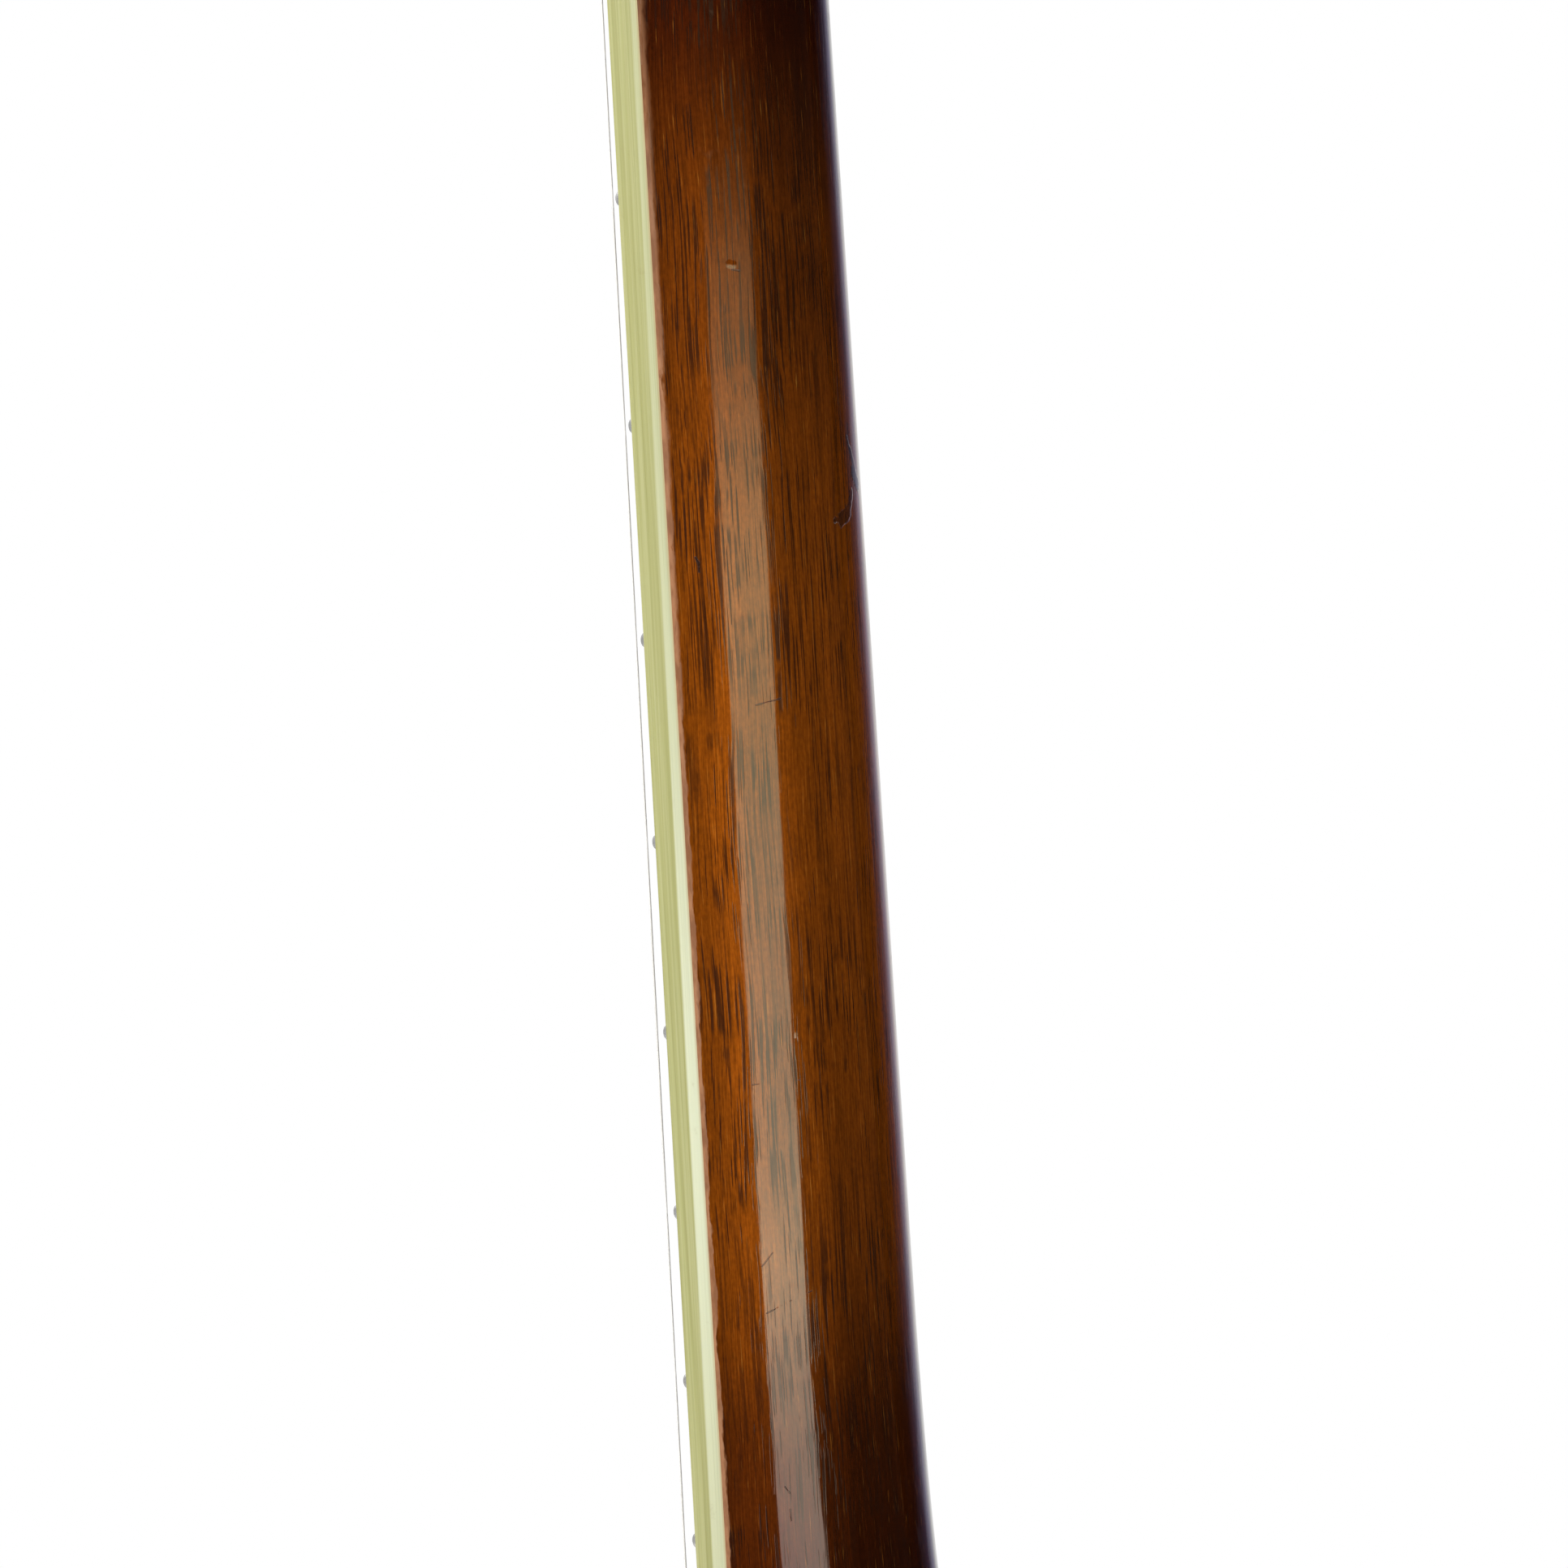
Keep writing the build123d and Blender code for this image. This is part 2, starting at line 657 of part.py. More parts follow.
for index, gauge in enumerate(string_gauges):
    name = index + 1

    with BuildPart() as tuner_post:
        with BuildSketch(tuner_planes(carrier_w)[index]):
            Circle(post_radius)
        extrude(amount=-(carrier_w + peghead_thickness + post_height))
        with BuildSketch(tuner_planes(carrier_w)[index]):
            Circle(carrier_radius)
        extrude(amount=carrier_thickness)
        with BuildSketch(tuner_planes(carrier_w + carrier_thickness)[index]):
            with Locations((planet_circle, 0), (-planet_circle, 0)):
                Circle(planet_pin_radius)
        extrude(amount=end_play + gear_height)
        string_hole = winding_base + gauge * (winding_turns + 1) + string_hole_rise
        hole_plane = peghead_plane.offset(string_hole)
        seat = hole_plane.from_local_coords((*tuner_seats[index], 0))
        with BuildSketch(Plane(origin=seat, z_dir=peghead_plane.y_dir)):
            Circle(string_hole_radius)
        extrude(amount=2 * post_radius, both=True, mode=Mode.SUBTRACT)
        winding_w = -peghead_thickness - winding_base - gauge / 2 - running
        with BuildSketch(tuner_planes(winding_w)[index]):
            Circle(post_radius + gauge)
        extrude(amount=-gauge * winding_turns)
    write(tuner_post, f"tuner_post_{name}")

    for letter, side in (("a", 1), ("b", -1)):
        with BuildPart() as planet:
            with BuildSketch(tuner_planes(gear_w)[index]):
                with Locations((side * planet_circle, 0)):
                    half_tooth = 180.0 / planet_teeth
                    Polygon(
                        *gear(planet_teeth, planet_pitch + addendum, planet_pitch - dedendum, half_tooth),
                        align=None,
                    )
                    Circle(planet_pin_radius + slip, mode=Mode.SUBTRACT)
            extrude(amount=gear_height)
        write(planet, f"tuner_planet_{name}{letter}")

    with BuildPart() as tuner_shaft:
        with BuildSketch(tuner_planes(gear_w)[index]):
            Polygon(*gear(sun_teeth, sun_pitch + addendum, sun_pitch - dedendum), align=None)
        extrude(amount=gear_height)
        with BuildSketch(tuner_planes(gear_w + gear_height)[index]):
            Circle(shaft_radius)
        extrude(amount=button_w - gear_w - gear_height)
        with BuildSketch(tuner_planes(button_w)[index]):
            Circle(shaft_core_radius)
        extrude(amount=button_height)
        with BuildSketch(tuner_planes(button_w + button_height)[index]):
            Circle(shaft_radius)
            Rectangle(2 * shaft_radius, button_screw_slot[0], mode=Mode.SUBTRACT)
        extrude(amount=button_screw_height)
        with BuildSketch(tuner_planes(button_w + button_height)[index]):
            Circle(shaft_radius)
        extrude(amount=button_screw_height - button_screw_slot[1])
    write(tuner_shaft, f"tuner_shaft_{name}")

    with BuildPart() as tuner_button:
        with BuildSketch(tuner_planes(button_w)[index]):
            Circle(button_radius)
            Circle(shaft_core_radius, mode=Mode.SUBTRACT)
        extrude(amount=button_height)
        fillet(tuner_button.edges().filter_by(GeomType.CIRCLE).group_by(SortBy.RADIUS)[-1], button_round)
    write(tuner_button, f"tuner_button_{name}")

# ---- pot: rim, tone ring, head and the hoops that stretch it ----
with BuildPart() as rim:
    add(ring(rim_radius - rim_wall, rim_radius, rim_top, rim_bottom))
    for rod_y in (front_rod_y, back_rod_y):
        with BuildSketch(Plane.XY.offset(pot_z)):
            with Locations((0, rod_y)):
                Circle(rod_radius + slip)
        extrude(amount=rim_radius, both=True, mode=Mode.SUBTRACT)
write(rim, "rim")

with BuildPart() as tone_ring:
    with BuildSketch(Plane.XY.offset(pot_z)):
        with Locations((rim_radius, tone_ring_top)):
            Rectangle(tone_ring_wall, tone_ring_height, align=(Align.MAX, Align.MIN))
        fillet(vertices().group_by(Axis.Y)[0], tone_ring_round)
    revolve(axis=pot_axis)
write(tone_ring, "tone_ring")

collar_outer = rim_radius + slip + head_thickness
with BuildPart() as head:
    with BuildSketch(pot_plane(head_y)):
        Circle(collar_outer)
    extrude(amount=collar_depth)
    with BuildSketch(pot_plane(tone_ring_top)):
        Circle(rim_radius + slip)
    extrude(amount=collar_depth, mode=Mode.SUBTRACT)
write(head, "head")

with BuildPart() as flesh_hoop:
    flesh_inner = collar_outer + slip
    add(ring(flesh_inner, flesh_inner + flesh_hoop_size, hoop_back, hoop_back + flesh_hoop_size))
write(flesh_hoop, "flesh_hoop")

with BuildPart() as tension_hoop:
    with BuildSketch(Plane.XY.offset(pot_z)):
        with BuildLine():
            Polyline(
                (hoop_inner, hoop_front), (hoop_inner + hoop_wall, hoop_front),
                (hoop_inner + hoop_wall, hoop_front + step_drop), (hoop_outer, hoop_front + step_drop),
                (hoop_outer, hoop_back), (hoop_inner, hoop_back), close=True,
            )
        make_face()
    revolve(axis=pot_axis)
write(tension_hoop, "tension_hoop")

# ---- flange: holes for the hooks, sound slots, screw holes and a notch for the heel ----
flange_notch = heel_half_width(nut_to_rim, flange_front - flange_collar[1]) + clear
free_spaces = [k for k in range(1, hook_count) if k not in screw_places]
with BuildPart() as flange:
    add(ring(rim_radius + slip, flange_outer, flange_front, flange_back))
    add(ring(rim_radius + slip, rim_radius + slip + flange_collar[0],
             flange_front - flange_collar[1], flange_front))
    with BuildSketch(pot_plane(flange_front)):
        with PolarLocations(hook_circle, hook_count, start_angle=hook_step / 2):
            Circle(hook_radius + 3 * running)
        for place in free_spaces:
            with PolarLocations(slot_circle, 1, start_angle=place * hook_step):
                SlotOverall(*sound_slot, rotation=90)
        for place in screw_places:
            with PolarLocations(slot_circle, 1, start_angle=place * hook_step):
                Circle(screw_shank_radius + running)
    extrude(amount=flange_thickness, mode=Mode.SUBTRACT)
    with BuildSketch(pot_plane(flange_back)):
        Rectangle(flange_outer + clear, 2 * flange_notch, align=(Align.MIN, Align.CENTER))
    extrude(amount=-flange_thickness - flange_collar[1], mode=Mode.SUBTRACT)
write(flange, "flange")

# ---- hooks and their nuts ----
claw_y = hoop_front + step_drop - hook_radius - slip
with BuildPart() as hooks:
    with BuildSketch(pot_plane(claw_y - hook_radius)):
        with PolarLocations(hook_circle, hook_count, start_angle=hook_step / 2):
            Circle(hook_radius)
    extrude(amount=flange_back + hook_thread - claw_y + hook_radius)
    for place in range(hook_count):
        angle = math.radians((place + 0.5) * hook_step)
        outward = Vector(math.sin(angle), 0, math.cos(angle))
        claw_start = Vector(0, claw_y, pot_z) + outward * (hoop_inner + hoop_wall + slip)
        with BuildSketch(Plane(origin=claw_start, x_dir=(0, 1, 0), z_dir=outward)):
            Rectangle(2 * hook_radius, claw_width)
        extrude(amount=hook_circle - hoop_inner - hoop_wall - slip)
write(hooks, "hooks")

with BuildPart() as hook_nuts:
    with BuildSketch(pot_plane(flange_back)):
        with PolarLocations(hook_circle, hook_count, start_angle=hook_step / 2):
            RegularPolygon(hook_nut_flats / 2, 6, major_radius=False)
            Circle(hook_radius + slip, mode=Mode.SUBTRACT)
    extrude(amount=hook_nut_length)
write(hook_nuts, "hook_nuts")

# ---- coordinator rods: from the heel through both sides of the rim ----
rim_tail = pot_z - rim_radius
strap_z = hinge_z - hinge_radius
rod_ends = (
    (front_rod_y, front_rod_depth, strap_z - rod_nut_length - rod_tail),
    (back_rod_y, back_rod_depth, rim_tail - rod_nut_length - rod_tail),
)
# The nuts: inside the rim at the neck, inside and outside it at the tail, and behind the strap.
nut_seat = rod_nut_flats ** 2 / (6 * (rim_radius - rim_wall)) + slip
inner_neck = -nut_to_rim - rim_wall - nut_seat
inner_tail = rim_tail + rim_wall + nut_seat
nut_places = [(rod_y, inner_neck - rod_nut_length) for rod_y in (front_rod_y, back_rod_y)]
nut_places += [(rod_y, inner_tail) for rod_y in (front_rod_y, back_rod_y)]
nut_places += [(rod_y, rim_tail - rod_nut_length) for rod_y in (front_rod_y, back_rod_y)]
nut_places += [(front_rod_y, strap_z - rod_nut_length)]
with BuildPart() as coordinator_rods:
    for rod_y, rod_depth, rod_end in rod_ends:
        with BuildSketch(Plane.XY.offset(rod_end)):
            with Locations((0, rod_y)):
                Circle(rod_radius)
        extrude(amount=rod_depth - nut_to_rim - rod_end)
    for rod_y, start in nut_places:
        with BuildSketch(Plane.XY.offset(start)):
            with Locations((0, rod_y)):
                RegularPolygon(rod_nut_flats / 2, 6, major_radius=False)
                Circle(rod_radius + slip, mode=Mode.SUBTRACT)
        extrude(amount=rod_nut_length)
write(coordinator_rods, "coordinator_rods")

# ---- resonator ----
back_front = resonator_edge - back_thickness
notch_half = heel_half_width(nut_to_rim + rim_radius - wall_inner, resonator_front) + 2 * clear
with BuildPart() as heel_notch:
    with BuildSketch(pot_plane(resonator_front - clear)):
        Rectangle(resonator_radius + clear, 2 * notch_half, align=(Align.MIN, Align.CENTER))
    extrude(amount=notch_depth + clear)

with BuildPart() as resonator_wall:
    add(ring(wall_inner, resonator_radius, resonator_front, back_front))
    add(
        ring(resonator_radius - trim_width, resonator_radius,
             resonator_front, resonator_front + trim_height),
        mode=Mode.SUBTRACT,
    )
    add(heel_notch.part, mode=Mode.SUBTRACT)
write(resonator_wall, "resonator_wall")

with BuildPart() as resonator_binding:
    add(
        ring(resonator_radius - trim_width, resonator_radius,
             resonator_front, resonator_front + trim_height)
    )
    add(heel_notch.part, mode=Mode.SUBTRACT)
    add(ring(resonator_radius - trim_width, resonator_radius, back_front, resonator_edge))
write(resonator_binding, "resonator_binding")

with BuildPart() as resonator_back:
    with BuildSketch(Plane.XY.offset(pot_z)):
        with BuildLine():
            edge_radius = resonator_radius - trim_width - slip
            crown_front = resonator_crown - back_thickness
            outside = TangentArc((0, resonator_crown), (edge_radius, resonator_edge), tangent=(1, 0))
            inside = TangentArc((0, crown_front), (edge_radius, back_front), tangent=(1, 0))
            Line(outside @ 1, inside @ 1)
            Line(outside @ 0, inside @ 0)
        make_face()
    revolve(axis=pot_axis)
write(resonator_back, "resonator_back")

lug_front = flange_back + lug_gap
lug_circle = wall_inner - lug_size[1] ** 2 / (8 * wall_inner) - slip
with BuildPart() as resonator_lugs:
    with BuildSketch(pot_plane(lug_front)):
        for place in screw_places:
            with PolarLocations(lug_circle, 1, start_angle=place * hook_step):
                Rectangle(lug_size[0], lug_size[1], align=(Align.MAX, Align.CENTER))
            with PolarLocations(slot_circle, 1, start_angle=place * hook_step):
                Circle(screw_shank_radius + slip, mode=Mode.SUBTRACT)
    extrude(amount=lug_size[1])
write(resonator_lugs, "resonator_lugs")

with BuildPart() as thumb_screws:
    with BuildSketch(pot_plane(flange_front)):
        for place in screw_places:
            with PolarLocations(slot_circle, 1, start_angle=place * hook_step):
                Circle(thumb_screw_radius)
    extrude(amount=-thumb_screw_base)
    with BuildSketch(pot_plane(flange_front - thumb_screw_base)):
        for place in screw_places:
            with PolarLocations(slot_circle, 1, start_angle=place * hook_step):
                SlotOverall(2 * (thumb_screw_radius - clear), thumb_screw_radius / 2)
    extrude(amount=thumb_screw_base - thumb_screw_height)
    with BuildSketch(pot_plane(flange_front)):
        for place in screw_places:
            with PolarLocations(slot_circle, 1, start_angle=place * hook_step):
                Circle(screw_shank_radius)
    extrude(amount=flange_thickness + lug_size[1])
write(thumb_screws, "thumb_screws")

# ---- bridge: three feet, two arches, a dark cap ----
cap_back = -bridge_action + bridge_cap_height


def bridge_wedge():
    """The bridge's side view, thick at the feet and thin at the top, as wide as the bridge."""
    with BuildPart() as wedge:
        with BuildSketch(Plane.YZ.offset(-bridge_width / 2)):
            Polygon(
                (head_y, bridge_foot / 2 - scale_length), (head_y, -bridge_foot / 2 - scale_length),
                (-bridge_action - groove_depth, -bridge_top / 2 - scale_length),
                (-bridge_action - groove_depth, bridge_top / 2 - scale_length), align=None,
            )
        extrude(amount=bridge_width)
    return wedge.part


arch_width = (bridge_width - 3 * foot_width) / 2
with BuildPart() as bridge:
    add(bridge_wedge())
    with BuildSketch(Plane.XY.offset(-scale_length)):
        with Locations((0, cap_back)):
            Rectangle(bridge_width, bridge_height, align=(Align.CENTER, Align.MAX))
        for side in (-1, 1):
            with Locations((side * (foot_width + arch_width) / 2, head_y)):
                Ellipse(arch_width / 2, foot_arch)
            with Locations((side * bridge_width / 2, cap_back)):
                Ellipse(shoulder_scoop, foot_arch)
    extrude(amount=bridge_foot, both=True, mode=Mode.SUBTRACT)
write(bridge, "bridge")

with BuildPart() as bridge_cap:
    add(bridge_wedge())
    with BuildSketch(Plane.XY.offset(-scale_length)):
        with Locations((0, cap_back)):
            Rectangle(bridge_width, bridge_height + groove_depth, align=(Align.CENTER, Align.MIN))
        for side in (-1, 1):
            with Locations((side * bridge_width / 2, cap_back)):
                Ellipse(shoulder_scoop, foot_arch)
    extrude(amount=bridge_foot, both=True, mode=Mode.SUBTRACT)
    for index in range(len(string_gauges)):
        add(string_run(index, running / 3), mode=Mode.SUBTRACT)
write(bridge_cap, "bridge_cap")

# ---- tailpiece: a plate hooked to the front rod by a strap, with a hinged cover ----
plate_end = hinge_z + hinge_radius + clear
barrel_half = tail_plate_width / 2
strap_end = front_rod_y + rod_radius + strap_tail
with BuildPart() as tailpiece_base:
    with BuildSketch(Plane.XZ.offset(-tail_plate_y)):
        with Locations((0, plate_end)):
            Rectangle(tail_plate_width, tail_plate_length - hinge_radius - clear,
                      align=(Align.CENTER, Align.MIN))
        with Locations((0, hinge_z)):
            Rectangle(tail_strap_width, 2 * hinge_radius + clear, align=(Align.CENTER, Align.MIN))
    extrude(amount=-tail_plate_thickness)
    with BuildSketch(Plane.YZ.offset(-tail_strap_width / 2)):
        with Locations((hinge_y, hinge_z)):
            Circle(hinge_radius)
    extrude(amount=tail_strap_width)
    with BuildSketch(Plane.XZ.offset(-hinge_y)):
        with Locations((0, strap_z)):
            Rectangle(tail_strap_width, tail_plate_thickness, align=(Align.CENTER, Align.MIN))
    extrude(amount=hinge_y - strap_end)
    with BuildSketch(Plane.XZ.offset(-tail_plate_y)):
        for share in string_x:
            with Locations((share * tail_spread, peg_z)):
                Circle(peg_radius)
    extrude(amount=peg_height)
    with BuildSketch(Plane.XY.offset(strap_z)):
        with Locations((0, front_rod_y)):
            Circle(rod_radius + slip)
    extrude(amount=tail_plate_thickness, mode=Mode.SUBTRACT)
    with BuildSketch(Plane.YZ.offset(-tail_strap_width / 2)):
        with Locations((hinge_y, hinge_z)):
            Circle(hinge_pin_radius)
    extrude(amount=tail_strap_width, mode=Mode.SUBTRACT)
    with BuildSketch(Plane.YZ.offset(-barrel_half)):
        with Locations((hinge_y, hinge_z)):
            Circle(hinge_pin_radius)
    extrude(amount=2 * barrel_half)
write(tailpiece_base, "tailpiece_base")

cover_front_y = tail_plate_y - cover_inside - tail_cover_thickness
cover_half = barrel_half + clear + tail_cover_skirt
with BuildPart() as tailpiece_cover:
    with BuildSketch(Plane.XY.offset(hinge_z + hinge_radius + clear)):
        with Locations((0, cover_front_y)):
            Rectangle(2 * cover_half, cover_inside + tail_cover_thickness - clear,
                      align=(Align.CENTER, Align.MIN))
        with Locations((0, cover_front_y + tail_cover_thickness)):
            Rectangle(2 * (cover_half - tail_cover_skirt), cover_inside,
                      align=(Align.CENTER, Align.MIN), mode=Mode.SUBTRACT)
    extrude(amount=tail_plate_length - hinge_radius - 2 * clear)
    with BuildSketch(Plane.YZ.offset(tail_strap_width / 2 + clear)):
        with Locations((hinge_y, hinge_z)):
            Circle(hinge_radius)
        with Locations((cover_front_y, hinge_z)):
            Rectangle(tail_cover_thickness, hinge_radius + 2 * clear, align=(Align.MIN, Align.MIN))
            Rectangle(hinge_y - cover_front_y, hinge_radius, align=(Align.MIN, Align.MIN))
        with Locations((hinge_y, hinge_z)):
            Circle(hinge_pin_radius + running, mode=Mode.SUBTRACT)
    extrude(amount=barrel_half - tail_strap_width / 2 - clear)
    mirror(about=Plane.YZ)
write(tailpiece_cover, "tailpiece_cover")

# ---- armrest on the bass side, clamped through two sound slots ----
armrest_angles = [place * hook_step for place in armrest_places]
armrest_start = armrest_angles[0] - armrest_overhang
armrest_span = armrest_angles[-1] - armrest_angles[0] + 2 * armrest_overhang
armrest_back = hoop_front - armrest_rise + armrest_thickness
clamp_circle = slot_circle - sound_slot[1] / 2 + clamp_radius + clear
armrest_plane = Plane(
    origin=(0, 0, pot_z),
    x_dir=(math.sin(math.radians(armrest_start)), 0, math.cos(math.radians(armrest_start))),
    z_dir=(-math.cos(math.radians(armrest_start)), 0, math.sin(math.radians(armrest_start))),
)
with BuildPart() as armrest:
    with BuildSketch(armrest_plane):
        with Locations((clamp_circle + 2 * clamp_radius, armrest_back)):
            Rectangle(armrest_width, armrest_thickness, align=(Align.MAX, Align.MAX))
        fillet(vertices(), armrest_round)
    revolve(axis=Axis((0, 0, pot_z), (0, 1, 0)), revolution_arc=armrest_span)
write(armrest, "armrest")

with BuildPart() as armrest_clamps:
    with BuildSketch(pot_plane(armrest_back)):
        for angle in armrest_angles:
            with PolarLocations(clamp_circle, 1, start_angle=angle):
                Circle(clamp_radius)
    extrude(amount=flange_back + clamp_foot[2] + clamp_thread - armrest_back)
    with BuildSketch(pot_plane(flange_back)):
        for angle in armrest_angles:
            with PolarLocations(slot_circle, 1, start_angle=angle):
                Rectangle(clamp_foot[0], clamp_foot[1])
    extrude(amount=clamp_foot[2])
write(armrest_clamps, "armrest_clamps")

# ---- strings, each with its loop round a peg of the tailpiece ----
for index, gauge in enumerate(string_gauges):
    start = string_points(index)[0]
    loop_plane = Plane(origin=(start.X, start.Y, peg_z), z_dir=(0, 1, 0))
    with BuildPart() as wire:
        add(string_run(index))
        with BuildSketch(loop_plane):
            Circle(peg_radius + slip + gauge)
            Circle(peg_radius + slip, mode=Mode.SUBTRACT)
        extrude(amount=gauge / 2, both=True)
    write(wire, f"string_{index + 1}")
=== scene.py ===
import json
import math

import bpy
from bpy.props import FloatProperty, FloatVectorProperty, IntProperty, PointerProperty
from mathutils import Matrix, Vector

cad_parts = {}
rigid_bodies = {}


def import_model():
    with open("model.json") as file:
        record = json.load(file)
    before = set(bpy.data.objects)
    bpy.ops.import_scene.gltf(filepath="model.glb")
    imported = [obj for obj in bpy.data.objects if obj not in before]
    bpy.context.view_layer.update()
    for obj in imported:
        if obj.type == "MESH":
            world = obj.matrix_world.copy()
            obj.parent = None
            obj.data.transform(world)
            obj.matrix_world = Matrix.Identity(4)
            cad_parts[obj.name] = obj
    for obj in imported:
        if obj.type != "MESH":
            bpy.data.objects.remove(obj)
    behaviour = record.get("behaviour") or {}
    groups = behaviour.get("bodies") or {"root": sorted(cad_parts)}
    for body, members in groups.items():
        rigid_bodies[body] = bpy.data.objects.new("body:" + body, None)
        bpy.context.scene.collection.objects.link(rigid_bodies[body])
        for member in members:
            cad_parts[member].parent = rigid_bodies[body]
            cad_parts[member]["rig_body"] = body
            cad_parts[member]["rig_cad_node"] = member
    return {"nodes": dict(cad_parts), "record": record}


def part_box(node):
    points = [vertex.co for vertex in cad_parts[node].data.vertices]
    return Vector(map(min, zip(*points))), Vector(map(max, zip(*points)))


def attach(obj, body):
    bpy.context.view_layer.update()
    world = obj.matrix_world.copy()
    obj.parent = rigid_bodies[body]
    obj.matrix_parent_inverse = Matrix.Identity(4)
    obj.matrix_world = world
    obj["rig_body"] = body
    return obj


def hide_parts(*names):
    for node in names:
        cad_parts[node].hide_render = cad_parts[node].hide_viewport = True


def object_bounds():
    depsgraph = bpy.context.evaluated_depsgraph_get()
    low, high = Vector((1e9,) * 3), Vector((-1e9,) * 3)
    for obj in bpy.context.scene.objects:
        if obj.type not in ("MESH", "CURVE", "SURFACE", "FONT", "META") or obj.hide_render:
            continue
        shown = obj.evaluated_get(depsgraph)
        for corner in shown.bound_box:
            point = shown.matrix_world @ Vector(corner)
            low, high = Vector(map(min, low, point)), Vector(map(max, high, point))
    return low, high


bl_info = {
    "name": "Tenor banjo",
    "version": (1, 0, 0),
    "blender": (4, 5, 0),
    "location": "3D View > Sidebar > Banjo",
    "description": "Dresses the frame of a tenor banjo in its woods, metals, skin and strings",
    "category": "Object",
}

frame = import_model()
cad_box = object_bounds()
nodes = frame["nodes"]
board_low, board_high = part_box("fingerboard_binding")
_, nut_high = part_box("nut")
rim_low, rim_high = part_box("rim")
hoop_low, hoop_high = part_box("tension_hoop")
_, back_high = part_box("resonator_back")
drum_z = (rim_low.z + rim_high.z) / 2


def length(name, default, description):
    """A size in metres."""
    return FloatProperty(name=name, description=description, default=default, unit="LENGTH", precision=5,
                         min=0.0)


def angle(name, degrees, description):
    """An angle, given in degrees."""
    return FloatProperty(name=name, description=description, default=math.radians(degrees), subtype="ANGLE")


def number(name, default, description):
    """A plain number."""
    return FloatProperty(name=name, description=description, default=default, precision=4)


def colour(name, default, description):
    """A colour, linear."""
    return FloatVectorProperty(name=name, description=description, default=default, subtype="COLOR", size=3,
                               min=0.0, max=1.0)


class NeckSizes(bpy.types.PropertyGroup):
    """The neck's shape behind the fingerboard"""

    nut_depth: length("Depth at the nut", 0.015, "Wood behind the fingerboard at the nut")
    growth: number("Growth", 0.0045, "Depth that the shaft gains for each metre below the nut, in metres")
    heel_start: length("Heel start", 0.255, "Distance from the nut at which the heel begins to sweep back")
    heel_end: length("Heel end", 0.400, "Distance from the nut to the end of the sweep")
    heel_rise: length("Heel rise", 0.041, "How far the sweep goes back")
    heel_power: number("Heel curve", 3.36, "Higher keeps the sweep for the last stretch")
    tilt: angle("Peghead tilt", 13.5, "Angle by which the peghead leans back")
    drop: length("Peghead drop", 0.001, "Peghead's face behind the fingerboard's face at the nut")
    thickness: length("Peghead thickness", 0.013, "Veneer included")
    veneer: length("Veneer", 0.002, "Thickness of the dark veneer on the face")
    throat: length("Throat", 0.0345, "Height up the peghead at which its widest place is reached")
    crown: length("Crown", 0.1115, "Height up the peghead at which its top begins to curve in")
    volute: length("Volute", 0.034, "Stretch above the nut over which the shaft becomes the peghead")
    square: number("Edge", 7.0, "How square the peghead's back edges are, from 2 for an ellipse")


class WindingSizes(bpy.types.PropertyGroup):
    """The turns of string on each tuner post"""

    base: length("Base", 0.0055, "Lowest turn above the peghead's face")
    post_radius: length("Post radius", 0.003, "Radius of a tuner's post")
    gap: length("Gap", 0.00005, "Between the string's landing and the first turn above it")
    pitch: number("Pitch", 1.05, "Rise of each turn, in thicknesses of the string")
    turns: IntProperty(name="Turns", description="Turns of string on each post", default=5, min=1, max=12)


class FinishColours(bpy.types.PropertyGroup):
    """Colours of the instrument's finishes"""

    amber: colour("Amber", (0.262, 0.062, 0.0028), "Stain in the light stretch of the burst")
    umber: colour("Umber", (0.044, 0.0068, 0.0010), "Stain at the dark ends of the burst")
    bare: colour("Bare wood", (0.39, 0.178, 0.080), "Scraped wood beside the binding")
    ivory: colour("Ivoroid", (0.377, 0.375, 0.156), "Body of the binding")
    # This colour is painted sheen: the strip lamp's reflection on the binding next to the wood, laid into its
    # colour.
    painted_sheen: colour("Painted_sheen", (0.700, 0.735, 0.550), "Paler layer of the binding next to the wood")
    ebony: colour("Ebony", (0.020, 0.015, 0.012), "Fingerboard and veneer")
    maple: colour("Maple", (0.560, 0.360, 0.160), "Bridge")
    walnut: colour("Rim stain", (0.130, 0.045, 0.016), "Stained rim of the drum")
    nickel: colour("Nickel plate", (0.690, 0.672, 0.640), "Hoop, flange, hooks and tuners")
    steel: colour("Steel", (0.480, 0.480, 0.490), "Rods and shafts")
    fret: colour("Nickel silver", (0.560, 0.560, 0.550), "Fret wire")
    bronze: colour("Bell bronze", (0.560, 0.390, 0.180), "Tone ring")
    brass: colour("Brass", (0.640, 0.450, 0.190), "Gears and the hoop in the head's edge")
    skin: colour("Skin", (0.800, 0.785, 0.735), "Frosted head")
    bone: colour("Bone", (0.760, 0.700, 0.540), "Nut")


class StageSizes(bpy.types.PropertyGroup):
    """Camera and light"""

    azimuth: angle("Azimuth", 107.5, "Round the instrument from its face")
    elevation: angle("Elevation", 2.5, "Above the horizon")
    roll: angle("Roll", 3.49, "Turn about the line of sight")
    distance: length("Distance", 0.9588, "Camera to the neck")
    lens: number("Lens", 200.0, "Focal length in millimetres")
    aim_height: number("Aim height", -0.2114, "Height of the point in the middle of the picture")
    aim_across: number("Aim across", 0.0088, "How far that point lies towards the neck's back")
    key: number("Key", 1.15, "Level of the main lamp")
    fill: number("Fill", 0.32, "Level of each fill lamp")
    room: number("Room", 0.22, "Level of the light that comes from all round")
    strip: number("Strip", 5.8, "Level of the tall lamp that streaks the lacquer")


# ---- modelling helpers ----


